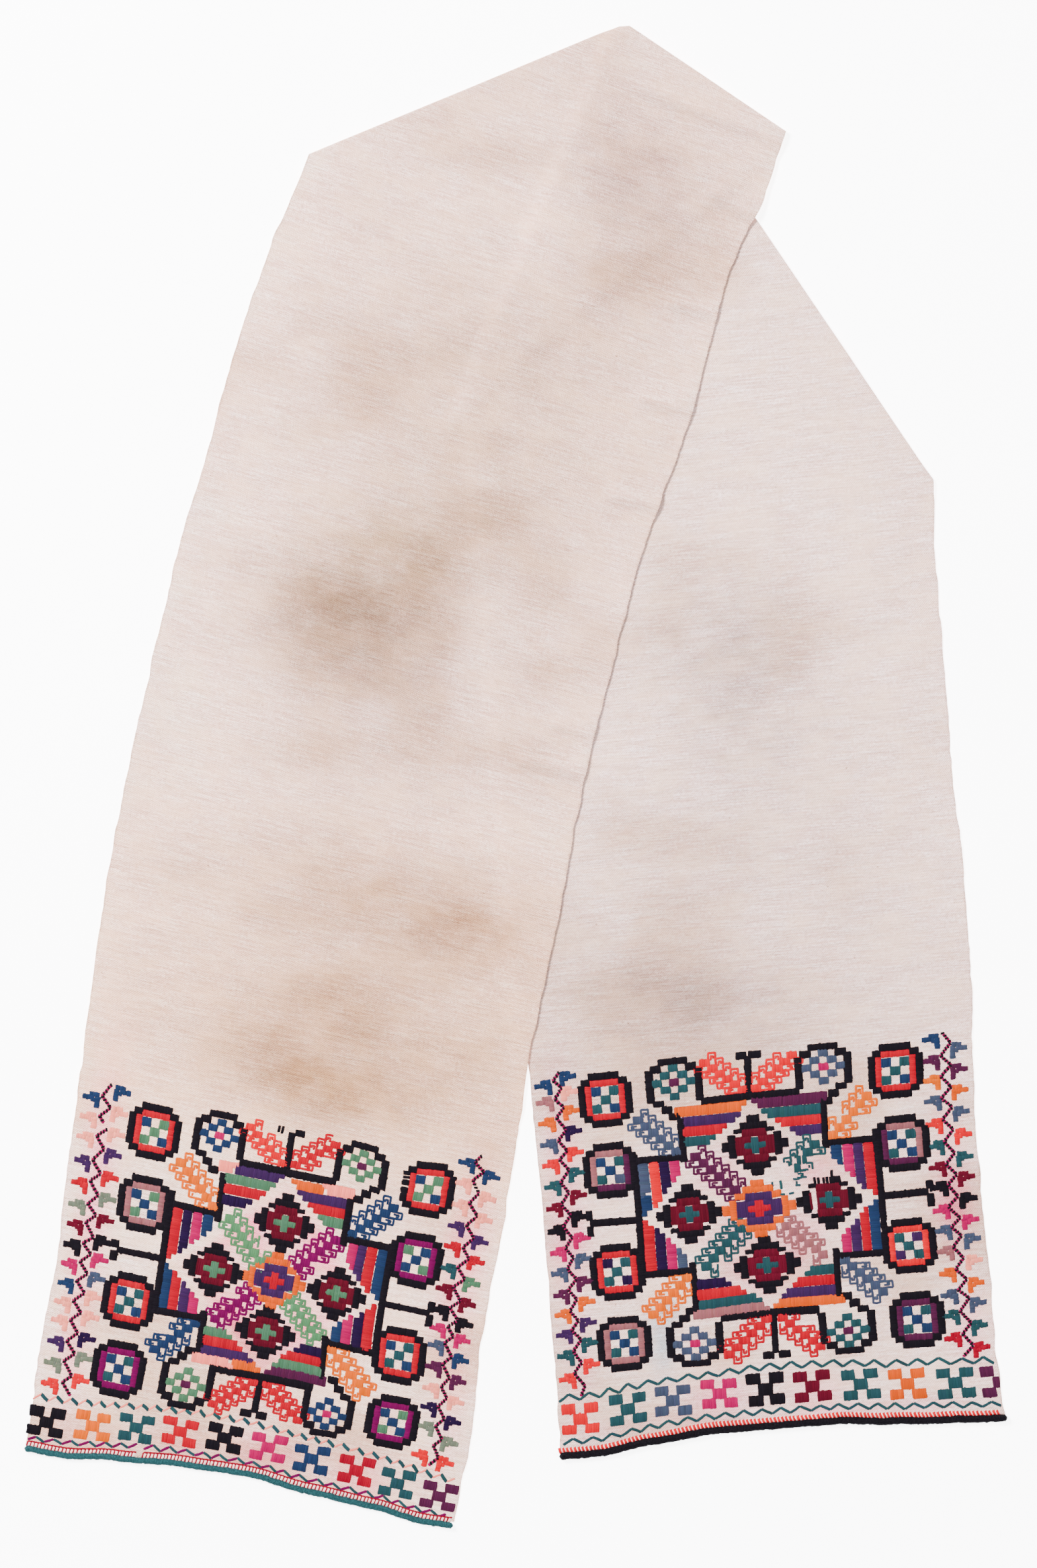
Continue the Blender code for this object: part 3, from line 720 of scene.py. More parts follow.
def sprig(s, w, d, side, colour):
    """A three-lobed sprig on the vine. d is its top, and side is which way it points."""
    def b(u0, u1, v0, v1, way="v"):
        s.block(w + side * u0, d - v0, w + side * u1, d - v1, colour, way, rise=0.6)

    b(3, 17.5, -0.5, 6.5)
    b(10.5, 27, 4.5, 11.5)
    b(0.5, 8.5, 6, 22, "h")
    b(7, 13, 8, 14)


def vine(s, turns):
    """The twisted black and magenta stem."""
    for (w0, d0), (w1, d1) in zip(turns, turns[1:]):
        size = np.hypot(w1 - w0, d1 - d0)
        n = max(2, round(size / 5.4))
        u = ((w1 - w0) / size, (d1 - d0) / size)
        for i in range(n):
            for part, colour, off, width in ((0.0, "black", 0.8, 6.4), (0.5, "cerise", -0.7, 5.4)):
                a = (i + part) / n
                e = a + 0.62 / n
                s.add(w0 + (w1 - w0) * a - u[1] * off, d0 + (d1 - d0) * a + u[0] * off,
                      w0 + (w1 - w0) * e + u[1] * off, d0 + (d1 - d0) * e - u[0] * off,
                      width, 0.95 if colour == "black" else 0.7, colour)


def zigzag(s, middle_rows, pitch, rise, start, stop, down, up, down_width, up_width, gap=(0, 0)):
    """A row of slanting stitches about a middle line, which the table gives."""
    rows = np.array(middle_rows, float)
    w, turns = start, []
    while w < stop:
        side = 1 if len(turns) % 2 else -1
        turns.append((w, np.interp(w, rows[:, 0], rows[:, 1]) + side * rise * RNG.uniform(0.42, 0.58)))
        w += pitch / 2 * RNG.uniform(0.88, 1.12)
    for p, q in zip(turns, turns[1:]):
        if gap[0] < p[0] < gap[1]:
            continue
        falling = q[1] - p[1] < 0
        s.add(p[0] - 0.6, p[1], q[0] + 0.6, q[1], down_width if falling else up_width, 0.6, down if falling else up)


Band = namedtuple("Band", "w0 w1 d0 d1 colour")


def band(s, b, w, d):
    """A filled bar of the medallion's arms. At its end towards the axis, the half that faces the middle stops short."""
    notch = 9
    if (b.w1 - b.w0) > (b.d1 - b.d0) * 1.05 and abs((b.d0 + b.d1) / 2 - d) > 80:
        inner = b.w1 if (b.w0 + b.w1) / 2 < w else b.w0
        outer = b.w0 + b.w1 - inner
        cut = inner + (notch if inner < outer else -notch)
        mid = (b.d0 + b.d1) / 2
        s.block(outer, b.d0, cut, b.d1, b.colour)
        away = (mid, b.d1) if mid > d else (b.d0, mid)
        s.block(cut, away[0], inner, away[1], b.colour)
        return
    inner = b.d0 if (b.d0 + b.d1) / 2 > d else b.d1
    outer = b.d0 + b.d1 - inner
    cut = inner + (notch if inner < outer else -notch)
    mid = (b.w0 + b.w1) / 2
    s.block(b.w0, outer, b.w1, cut, b.colour, "h")
    away = (mid, b.w1) if mid > w else (b.w0, mid)
    s.block(away[0], cut, away[1], inner, b.colour, "h")


Worn = namedtuple("Worn", "w d reach_w reach_d share")


def wear(s, places):
    """Drops some of the stitches where the yarn has worn away."""
    kept = []
    for row in s.rows:
        w, d = (row[0] + row[2]) / 2, (row[1] + row[3]) / 2
        lost = RNG.random() < 0.004
        for p in places:
            inside = ((w - p.w) / p.reach_w) ** 2 + ((d - p.d) / p.reach_d) ** 2
            lost = lost or (inside < 1 and RNG.random() < p.share * (1.2 - inside * 0.6))
        if not lost:
            kept.append(row)
    s.rows = kept
    s.beds = [b for b in s.beds if all(
        (((b[0] + b[2]) / 2 - p.w) / p.reach_w) ** 2 + (((b[1] + b[3]) / 2 - p.d) / p.reach_d) ** 2 > 1 for p in places)]


# ---------------------------------------------------------------- turning stitches into a mesh
def stitch_mesh(name, s):
    rows = np.array(s.rows)
    n = len(rows)
    t = np.array([0.0, 0.1, 0.5, 0.9, 1.0])
    lift = np.array([-0.25, 0.75, 1.0, 0.75, -0.25])
    narrow = np.array([0.8, 0.98, 1.0, 0.98, 0.8])
    u = np.array([-1.0, -0.5, 0.5, 1.0])
    arch = np.array([-0.1, 0.95, 0.95, -0.1])
    w = rows[:, 0, None] + (rows[:, 2] - rows[:, 0])[:, None] * t
    d = rows[:, 1, None] + (rows[:, 3] - rows[:, 1])[:, None] * t
    x, y, z = on_cloth(s.end, w, d)
    ax, ay = x[:, -1] - x[:, 0], y[:, -1] - y[:, 0]
    size = np.hypot(ax, ay)
    nx, ny = -ay / size, ax / size
    half = rows[:, 4] / 4.0
    wave = RNG.normal(0, 0.03, (n, len(t)))
    off = half[:, None, None] * narrow[None, :, None] * u[None, None, :] + wave[:, :, None] * rows[:, 4, None, None]
    rise = rows[:, 5, None, None] * RNG.uniform(0.85, 1.15, (n, 1, 1)) * 0.66
    tall = np.where(arch[None, None, :] > 0, lift[None, :, None] * arch[None, None, :], arch[None, None, :]) * rise
    px = x[:, :, None] + off * nx[:, None, None]
    py = y[:, :, None] + off * ny[:, None, None]
    pz = z[:, :, None] + tall + 0.02
    points = np.stack([px, py, pz], -1).reshape(-1, 3)
    a, b = len(t), len(u)
    i, j = np.meshgrid(np.arange(a - 1), np.arange(b - 1), indexing="ij")
    first = (i * b + j).ravel()
    quad = np.stack([first, first + b, first + b + 1, first + 1], 1)
    faces = (quad[None] + (np.arange(n) * a * b)[:, None, None]).reshape(-1, 4)
    beds = np.array(s.beds)
    share = np.array([0.0, 0.5, 1.0])
    bw = beds[:, 0, None] + (beds[:, 2] - beds[:, 0])[:, None] * share
    bd = beds[:, 1, None] + (beds[:, 3] - beds[:, 1])[:, None] * share
    bx, by, bz = on_cloth(s.end, np.repeat(bw, 3, axis=1), np.tile(bd, (1, 3)))
    under = np.stack([bx, by, bz + 0.16], -1).reshape(-1, 3)
    i, j = np.meshgrid(np.arange(2), np.arange(2), indexing="ij")
    corner_at = (i * 3 + j).ravel()
    cell = np.stack([corner_at, corner_at + 3, corner_at + 4, corner_at + 1], 1)
    cells = (cell[None] + (np.arange(len(beds)) * 9)[:, None, None]).reshape(-1, 4) + len(points)
    obj = mesh_of(name, placed(np.concatenate([points, under])), np.concatenate([faces[:, ::-1], cells]))
    shade = RNG.normal(1.0, 0.075, n)
    colour = PALETTE[rows[:, 6].astype(int)] * shade[:, None]
    colour = colour * RNG.uniform(0.95, 1.05, (n, 3))
    # the bed under each block has its yarn's colour, darkened to 0.8 as painted shade in the gaps between the stitches
    shaded_bed_colour = np.repeat(PALETTE[beds[:, 4].astype(int)] * 0.8, 9, axis=0)
    add_colour(obj, "yarn", np.concatenate([np.repeat(colour, a * b, axis=0), shaded_bed_colour]))
    shift = RNG.uniform(0, 40, (n, 2))
    uv = np.stack([
        np.broadcast_to(off + shift[:, 0, None, None], off.shape),
        np.broadcast_to((size[:, None] * t)[:, :, None] + shift[:, 1, None, None], off.shape),
    ], -1).reshape(-1, 2)
    add_uv(obj, "lay", np.concatenate([uv, under[:, :2]]))
    return obj


# ---------------------------------------------------------------- the front end's chart
FRONT_MIDDLE = (341.0, 315.0, 0.93)
FRONT_ROUNDELS = (
    Roundel(124.5, 498, "scarlet", "scarlet", "scarlet", "scarlet", "blue", "green", "green", "green", "blue"),
    Roundel(125, 389, "mauve", "mauve", "mauve", "mauve", "blue", "green", "blue", "green", "blue"),
    Roundel(122, 243, "scarlet", "scarlet", "scarlet", "scarlet", "blue", "teal", "teal", "teal", "blue"),
    Roundel(123, 140, "magenta", "magenta", "magenta", "magenta", "blue", "teal", "blue", "teal", "blue"),
    Roundel(553, 499, "scarlet", "scarlet", "scarlet", "scarlet", "blue", "green", "green", "green", "blue"),
    Roundel(554, 389.5, "magenta", "magenta", "magenta", "magenta", "green", "blue", "blue", "blue", "green"),
    Roundel(551, 242, "scarlet", "scarlet", "scarlet", "scarlet", "blue", "teal", "teal", "teal", "blue"),
    Roundel(553.5, 139, "magenta", "magenta", "magenta", "magenta", "blue", "green", "blue", "green", "blue"),
)
FRONT_FLOWERS = (
    Flower(226, 513, "blue", "hot_pink", -1, 1), Flower(448, 513, "green", "plum", 1, 1),
    Flower(229.5, 135, "green", "plum", -1, -1), Flower(452.5, 132.5, "blue", "hot_pink", 1, -1),
)
FRONT_LOZENGES = (
    Lozenge(344, 404, "maroon", "green", 0.92, 1.0), Lozenge(246, 314, "maroon", "green", 0.92, 0.9),
    Lozenge(441.5, 314.5, "maroon", "green", 0.92, 0.9), Lozenge(339.5, 235, "maroon", "green", 0.93, 0.92),
)
Bar = namedtuple("Bar", "w0 w1 d0 d1")
FRONT_BARS = (
    Bar(236, 246, 388, 458), Bar(434, 443.5, 389, 459), Bar(236, 246, 186, 249), Bar(430, 438.5, 183, 247),
    Bar(160, 170, 234, 417), Bar(509.5, 518.5, 234, 405), Bar(170, 240, 393, 403), Bar(443, 519, 395, 405),
    Bar(168, 238, 233, 243), Bar(436, 513, 234, 243.5), Bar(264, 412, 475, 485), Bar(262, 422, 162, 172),
    Bar(331, 340, 487, 540), Bar(314, 330, 537, 546), Bar(341, 354, 537, 546), Bar(337, 346, 114, 162),
    Bar(322, 336, 106, 116), Bar(346, 360, 106, 116), Bar(92, 162, 311, 319), Bar(82, 93, 318, 328),
    Bar(82, 93, 299, 311), Bar(517, 588, 310, 318), Bar(586, 596, 317.5, 331), Bar(586, 596, 294, 311),
)
FRONT_BANDS = (
    Band(232, 262, 461, 478, "peach"), Band(258, 334, 461, 477, "purple"), Band(243, 322, 446, 460.5, "green"),
    Band(244, 309, 430, 445, "red"), Band(243, 290, 414, 429, "indigo"),
    Band(346, 396, 458, 473, "orange"), Band(393, 443, 459, 476, "peach"), Band(357, 433, 443, 458.5, "purple"),
    Band(377, 433, 428, 443, "red"), Band(395, 433, 412, 427.5, "green"),
    Band(170, 186, 317, 394, "red"), Band(187, 201, 328, 394, "indigo"), Band(202, 217, 345, 394, "hot_pink"),
    Band(218, 234, 361, 394, "blue"), Band(169, 184, 243, 310, "blue"), Band(184, 199, 243, 301, "red"),
    Band(200, 215, 243, 288, "purple"), Band(215, 230, 243, 275, "hot_pink"),
    Band(447.5, 462, 355, 394, "hot_pink"), Band(462, 476, 340, 395, "purple"), Band(476.5, 493, 325, 395, "red"),
    Band(494, 509, 317, 395, "blue"), Band(442.5, 458, 243, 274, "blue"), Band(458, 474, 243, 288, "hot_pink"),
    Band(475, 490.5, 241, 294.5, "indigo"), Band(490.5, 507, 240, 310, "red"),
    Band(243, 288, 214, 228, "green"), Band(243, 306, 199, 214, "red"), Band(242, 325, 184, 199, "purple"),
    Band(231, 296, 170, 187, "peach"), Band(294, 338, 172, 188, "orange"),
    Band(387, 430, 212.5, 227.5, "indigo"), Band(367.5, 431, 199, 213, "red"), Band(356, 434, 184, 199, "green"),
    Band(345.5, 442, 172, 187, "plum"),
)
FRONT_LEAVES = (
    Leaf(156, 238, 402, 478, "tl", "light_orange", False), Leaf(442, 521, 403, 478, "tr", "blue", False),
    Leaf(157, 237, 163, 234, "bl", "blue", False), Leaf(439, 521, 162, 235, "br", "light_orange", False),
    Leaf(244, 330, 325, 412, "tl", "mint", True), Leaf(359, 441, 326, 411, "tr", "magenta", True),
    Leaf(244, 325, 225, 304, "bl", "magenta", True), Leaf(357, 435, 228, 303, "br", "mint", True),
    Leaf(255, 334, 487, 549, "tl", "coral", False), Leaf(341, 419, 489, 549, "tr", "scarlet", False),
    Leaf(260, 337, 101, 162, "bl", "scarlet", False), Leaf(346, 425, 101, 162, "br", "scarlet", False),
)
FRONT_CROSSES = (
    Cross(26, 45, "black"), Cross(97, 50, "light_orange"), Cross(165, 56, "teal"), Cross(233, 62.5, "scarlet"),
    Cross(303, 66.5, "black"), Cross(372, 65, "hot_pink"), Cross(441, 58.5, "blue"), Cross(512, 53.5, "crimson"),
    Cross(579.5, 47.5, "teal"), Cross(648, 41, "plum"),
)
FRONT_LEFT_VINE = (
    (50, 554), (38, 535), (53, 520), (38, 505), (53, 488), (38, 474), (53, 457), (38, 438), (53, 421), (38, 408),
    (53, 390), (38, 374), (53, 359), (38, 345), (53, 325), (38, 314), (53, 300), (38, 287), (53, 271), (38, 258),
    (53, 242), (38, 228), (53, 213), (38, 199), (53, 182), (38, 167), (53, 150), (38, 137), (53, 117), (40, 105),
    (55, 88),
)
FRONT_RIGHT_VINE = (
    (626, 565), (617, 552), (634, 540), (619, 524), (632, 507), (620, 490), (636, 474), (621, 457.5), (636, 440),
    (622, 422), (635, 407), (620, 391), (635, 375), (619, 361), (635, 342), (620, 329), (636, 312), (621, 299),
    (632, 285), (619, 272.5), (632.5, 254), (619.5, 241), (632.5, 222.5), (621, 207.5), (632.5, 191), (620, 175),
    (632.5, 157.5), (621, 144), (634.5, 126), (623.5, 114), (635, 98), (622.5, 84.5),
)
# Sprigs down each vine: the top of the one that points left, the top of the one that points right, the yarn.
Sprig = namedtuple("Sprig", "left right left_yarn right_yarn")
FRONT_LEFT_SPRIGS = (
    Sprig(538, 554, "blue", "blue"), Sprig(508, 523, "pale_peach", "pale_peach"),
    Sprig(477, 491, "pale_peach", "pale_peach"), Sprig(442, 459, "purple", "purple"),
    Sprig(410, 426, "scarlet", "scarlet"), Sprig(377, 395, "sage", "sage"), Sprig(346, 362, "dark_red", "dark_red"),
    Sprig(316, 329, "black", "black"), Sprig(288, 303, "hot_pink", "hot_pink"), Sprig(259, 275, "blue", "slate"),
    Sprig(231, 247, "pale_peach", "pale_peach"), Sprig(203, 217, "pale_peach", "pale_peach"),
    Sprig(171, 184, "purple", "indigo"), Sprig(139, 154, "sage", "sage"), Sprig(108, 121, "coral", "coral"),
)
FRONT_RIGHT_SPRIGS = (
    Sprig(556, 544, "blue", "blue"), Sprig(524, 510, "pale_peach", "pale_peach"),
    Sprig(492, 479, "pale_peach", "pale_peach"), Sprig(459.5, 445, "purple", "purple"),
    Sprig(427.5, 412.5, "red", "red"), Sprig(394, 379, "teal", "green"), Sprig(363, 347.5, "dark_red", "dark_red"),
    Sprig(330, 315.5, "black", "black"), Sprig(301, 290, "hot_pink", "hot_pink"), Sprig(274, 259.5, "slate", "blue"),
    Sprig(242.5, 227.5, "plum", "plum"), Sprig(210, 195, "pale_peach", "pale_peach"),
    Sprig(179.5, 162.5, "indigo", "indigo"), Sprig(149, 130.5, "sage", "sage"), Sprig(104, 100.5, "coral", "coral"),
)
FRONT_LOW_LINE = ((0, 17), (30, 16), (70, 19), (105, 23), (156, 28), (210, 32), (262, 35), (315, 36), (369, 35), (420, 29), (473, 25), (552, 22.5), (608, 16), (660, 12))
FRONT_HIGH_LINE = ((0, 79), (60, 80), (120, 86), (200, 94), (266, 98), (340, 98), (430, 91), (500, 84), (560, 80), (620, 73), (677, 68))
FRONT_WORN = (
    Worn(45, 491, 8, 6, 0.95), Worn(331, 543, 16, 6, 0.55), Worn(462, 548, 5, 3, 0.8), Worn(628, 515, 8, 6, 0.7),
    Worn(516, 506, 4, 12, 0.35), Worn(517, 374, 6, 8, 0.4), Worn(170, 26, 7, 6, 1.0), Worn(372, 484, 40, 2, 0.3),
)

# ---------------------------------------------------------------- the back end's chart
BACK_MIDDLE = (333.0, 350.0, 1.05)
BACK_ROUNDELS = (
    Roundel(111, 534.5, "scarlet", "scarlet", "scarlet", "scarlet", "blue", "teal", "teal", "teal", "blue"),
    Roundel(108.5, 426.5, "mauve", "mauve", "plum", "plum", "blue", "teal", "blue", "teal", "slate"),
    Roundel(108, 273, "scarlet", "scarlet", "scarlet", "scarlet", "indigo", "teal", "teal", "teal", "indigo"),
    Roundel(109.5, 163, "mauve", "mauve", "mauve", "mauve", "blue", "teal", "blue", "teal", "blue"),
    Roundel(558, 538, "scarlet", "scarlet", "scarlet", "scarlet", "blue", "teal", "teal", "teal", "blue"),
    Roundel(562, 428, "mauve", "plum", "mauve", "plum", "blue", "teal", "blue", "teal", "blue"),
    Roundel(558.5, 273, "coral", "coral", "coral", "coral", "teal", "purple", "teal", "purple", "teal"),
    Roundel(560.5, 161, "plum", "plum", "plum", "plum", "blue", "teal", "blue", "teal", "blue"),
)
BACK_FLOWERS = (
    Flower(217.5, 551.5, "teal", "plum", -1, 1), Flower(447.5, 553.5, "slate", "hot_pink", 1, 1),
    Flower(216.5, 154.5, "slate", "hot_pink", -1, -1), Flower(453.5, 153.5, "teal", "plum", 1, -1),
)
BACK_LOZENGES = (
    Lozenge(336, 446, "maroon", "teal", 1.0, 1.02), Lozenge(224.5, 350, "maroon", "teal", 0.99, 1.02),
    Lozenge(441, 352, "maroon", "teal", 0.98, 1.0), Lozenge(337, 262.5, "dark_red", "teal", 1.0, 1.0),
)
BACK_BARS = (
    Bar(219.5, 229, 430, 495), Bar(440, 449, 432, 499), Bar(218, 227, 209, 275), Bar(439.5, 448, 206, 277),
    Bar(142, 151, 261, 446), Bar(518, 527.5, 262, 452), Bar(150, 225, 432.5, 442), Bar(443, 521, 434, 443),
    Bar(150, 226, 260.5, 269.5), Bar(440, 520, 262, 270.5), Bar(259, 407.5, 514.5, 524), Bar(260, 411, 184.5, 194.5),
    Bar(328, 337.5, 525, 578), Bar(315.5, 330, 576, 586), Bar(335, 352, 576, 586), Bar(335.5, 344, 129, 186),
    Bar(321, 336, 120.5, 130.5), Bar(345.5, 361, 120.5, 130.5), Bar(73, 142, 343.5, 353), Bar(67, 75.5, 354, 366),
    Bar(67, 75.5, 329, 342.5), Bar(526, 594, 347.5, 357), Bar(592.5, 602.5, 358, 368), Bar(592.5, 602.5, 331, 348),
)
BACK_BANDS = (
    Band(216, 328, 498.5, 514, "orange"), Band(226, 317.5, 483, 498, "purple"), Band(226, 295, 468, 483, "red"),
    Band(226, 275, 452.5, 467.5, "teal"), Band(336, 451, 500, 516.5, "plum"), Band(350, 440.5, 484, 499.5, "teal"),
    Band(370, 440, 469.5, 484, "scarlet"), Band(391, 440, 454, 469, "purple"),
    Band(151, 168, 352.5, 384, "blue"), Band(151, 168, 380, 433, "slate"), Band(169, 184.5, 364, 433, "coral"),
    Band(185, 200.5, 384, 432, "indigo"), Band(201, 217, 400, 432, "hot_pink"),
    Band(151, 168.5, 270, 346, "scarlet"), Band(169, 184.5, 270, 333, "indigo"), Band(185, 200, 270, 316, "hot_pink"),
    Band(201, 215.5, 270, 299, "slate"), Band(451, 467.5, 404, 434, "blue"), Band(469, 485, 384, 434, "hot_pink"),
    Band(485.5, 500.5, 365, 434, "purple"), Band(501, 518, 355.5, 434, "red"),
    Band(454, 469, 272, 307.5, "hot_pink"), Band(469.5, 485, 272, 320.5, "purple"), Band(485.5, 500, 272, 338, "red"),
    Band(500.5, 517, 272, 348, "blue"), Band(226, 279, 237, 251, "indigo"), Band(226, 301, 221, 236.5, "scarlet"),
    Band(226, 324, 206, 221, "teal"), Band(217, 335, 192, 207, "mauve"), Band(394, 439, 239.5, 255, "teal"),
    Band(374, 439, 224, 239, "red"), Band(355, 440, 208.5, 223.5, "purple"), Band(341, 452, 195.5, 209, "orange"),
)
BACK_LEAVES = (
    Leaf(142, 221, 440, 515, "tl", "slate", False), Leaf(450, 528, 443, 521, "tr", "light_orange", False),
    Leaf(140, 219, 188, 262, "bl", "light_orange", False), Leaf(450, 528, 190, 265, "br", "slate", False),
    Leaf(226, 315, 366, 453, "tl", "plum", True), Leaf(356, 443, 368, 455, "tr", "teal", True),
    Leaf(227, 317, 252, 336, "bl", "teal", True), Leaf(357, 438, 254, 332, "br", "mauve", True),
    Leaf(250, 330, 525, 590, "tl", "coral", False), Leaf(337, 417, 525, 590, "tr", "coral", False),
    Leaf(251, 336, 117, 187, "bl", "scarlet", False), Leaf(347, 424, 117, 187, "br", "scarlet", False),
)
BACK_CROSSES = (
    Cross(32.5, 58, "coral"), Cross(106, 64.5, "teal"), Cross(176, 67.5, "slate"), Cross(248.5, 72.5, "hot_pink"),
    Cross(319.5, 75, "black"), Cross(390.5, 73.5, "dark_red"), Cross(464.5, 70, "teal"), Cross(537, 65, "orange"),
    Cross(609.5, 61, "teal"), Cross(677, 58.5, "plum"),
)
BACK_LEFT_VINE = (
    (45, 583), (34, 570.5), (46, 559), (33, 542.5), (46, 529), (33, 514), (46, 494), (32.5, 479), (45, 462.5),
    (32, 450), (45, 432.5), (30.5, 415), (42.5, 399), (29, 381), (43, 364), (29.5, 347.5), (42.5, 330), (30, 315),
    (42, 300), (31, 284), (44, 267.5), (30, 252.5), (42.5, 237.5), (29.5, 220), (42.5, 204), (30, 190), (44, 174),
    (30, 157.5), (42, 140), (29, 125), (44, 106), (37, 92),
)
BACK_RIGHT_VINE = (
    (629, 589), (642, 572.5), (626, 554), (642.5, 540), (626, 522.5), (642, 506), (625, 490), (641, 475),
    (625, 457.5), (640.5, 442), (625, 425), (640, 407.5), (625, 391), (640.5, 374), (625, 359), (639.5, 341),
    (622.5, 326), (640, 308), (625, 295), (639, 281), (624, 265), (639, 247.5), (625, 231), (641, 215), (626, 200),
    (642, 186), (626, 167.5), (642, 149), (627, 134), (642.5, 115.5), (626, 100.5),
)
BACK_LEFT_SPRIGS = (
    Sprig(572, 583, "blue", "blue"), Sprig(547, 560, "mauve", "pale_peach"), Sprig(515, 531, "orange", "orange"),
    Sprig(482, 499.5, "slate", "indigo"), Sprig(451, 467, "coral", "coral"), Sprig(418, 435.5, "teal", "teal"),
    Sprig(384.5, 401, "dark_red", "dark_red"), Sprig(349.5, 368, "black", "black"),
    Sprig(317.5, 335.5, "hot_pink", "hot_pink"), Sprig(286, 304.5, "slate", "slate"), Sprig(253, 270.5, "plum", "plum"),
    Sprig(223, 240.5, "orange", "orange"), Sprig(191, 207.5, "purple", "purple"), Sprig(159.5, 176, "teal", "teal"),
    Sprig(125.5, 144, "coral", "coral"),
)
BACK_RIGHT_SPRIGS = (
    Sprig(588, 572, "blue", "slate"), Sprig(555.5, 540.5, "plum", "plum"), Sprig(525.5, 508, "light_orange", "orange"),
    Sprig(494, 475, "slate", "slate"), Sprig(459.5, 442, "coral", "coral"), Sprig(427.5, 408, "teal", "teal"),
    Sprig(395, 377, "dark_red", "dark_red"), Sprig(365, 344, "black", "black"),
    Sprig(330, 311, "hot_pink", "hot_pink"), Sprig(299, 282.5, "slate", "slate"), Sprig(267.5, 250, "mauve", "pale_peach"),
    Sprig(234, 216, "orange", "orange"), Sprig(201, 186, "slate", "slate"), Sprig(170, 152, "teal", "teal"),
    Sprig(137, 119, "crimson", "crimson"),
)
BACK_LOW_LINE = ((0, 23), (35, 23), (65, 25), (98, 29), (134, 32), (191, 36), (248, 39), (308, 42), (369, 41), (427, 39), (490, 34), (549, 31), (604, 28), (660, 25))
BACK_HIGH_LINE = ((0, 90), (51, 91), (98, 96), (143, 99), (204, 102), (252, 105), (314, 108), (380, 107), (447, 104), (510, 98), (578, 97), (629, 93), (677, 91))
BACK_WORN = (
    Worn(372, 392, 26, 24, 0.85), Worn(432, 392, 26, 15, 0.75), Worn(392, 372, 22, 14, 0.6), Worn(418, 355, 9, 10, 0.6),
    Worn(494, 395, 5, 9, 0.4), Worn(447, 548, 3, 4, 0.5), Worn(408, 540, 4, 4, 0.8), Worn(128, 574, 14, 6, 0.6),
    Worn(150, 506, 10, 5, 0.4), Worn(410, 410, 12, 8, 0.3), Worn(120, 568, 10, 4, 0.5),
)


def hem_d(end, w):
    """The chart's d at the cut hem."""
    share = np.asarray(w, float) / WIDE
    rows = np.array(FRONT_HEM if end == "front" else BACK_HEM)
    i = np.clip(np.searchsorted(rows[:, 0], share, side="left") - 1, 0, len(rows) - 2)
    a, b = rows[i], rows[i + 1]
    station = a[..., 1] + (b[..., 1] - a[..., 1]) * smooth((share - a[..., 0]) / (b[..., 0] - a[..., 0]))
    return (station - FRONT_ZERO) * 2 if end == "front" else (BACK_ZERO - station) * 2


def whip(s, end):
    """The whip stitches over the hem: boxed white on the front end, slanting coral and white on the back end."""
    pitch = 5.6 if end == "front" else 5.9
    n = int(WIDE / pitch)
    for i in range(n):
        w = 1.5 + i * pitch + RNG.normal(0, 0.25)
        low = float(hem_d(end, w))
        lean = 1.6 if end == "front" else -3.4
        if end == "front":
            if 166 < w < 178:
                continue
            s.add(w + 2.2, low - 1.4, w + 2.2 + lean, low + 6.8, 5.2, 0.8, "pale_pink")
            s.add(w - 0.6, low - 1.6, w - 0.6 + lean, low + 7.6, 2.9, 1.0, "crimson")
            s.add(w - 0.8 + lean, low + 7.2, w + pitch - 0.2 + lean, float(hem_d(end, w + pitch)) + 7.2, 2.9, 1.0, "crimson")
        else:
            s.add(w, low - 1.6, w + lean, low + 7.8, 5.2, 1.0, "coral")
            s.add(w + 3.0, low - 1.4, w + 3.0 + lean, low + 7.4, 2.8, 0.85, "pale_pink")


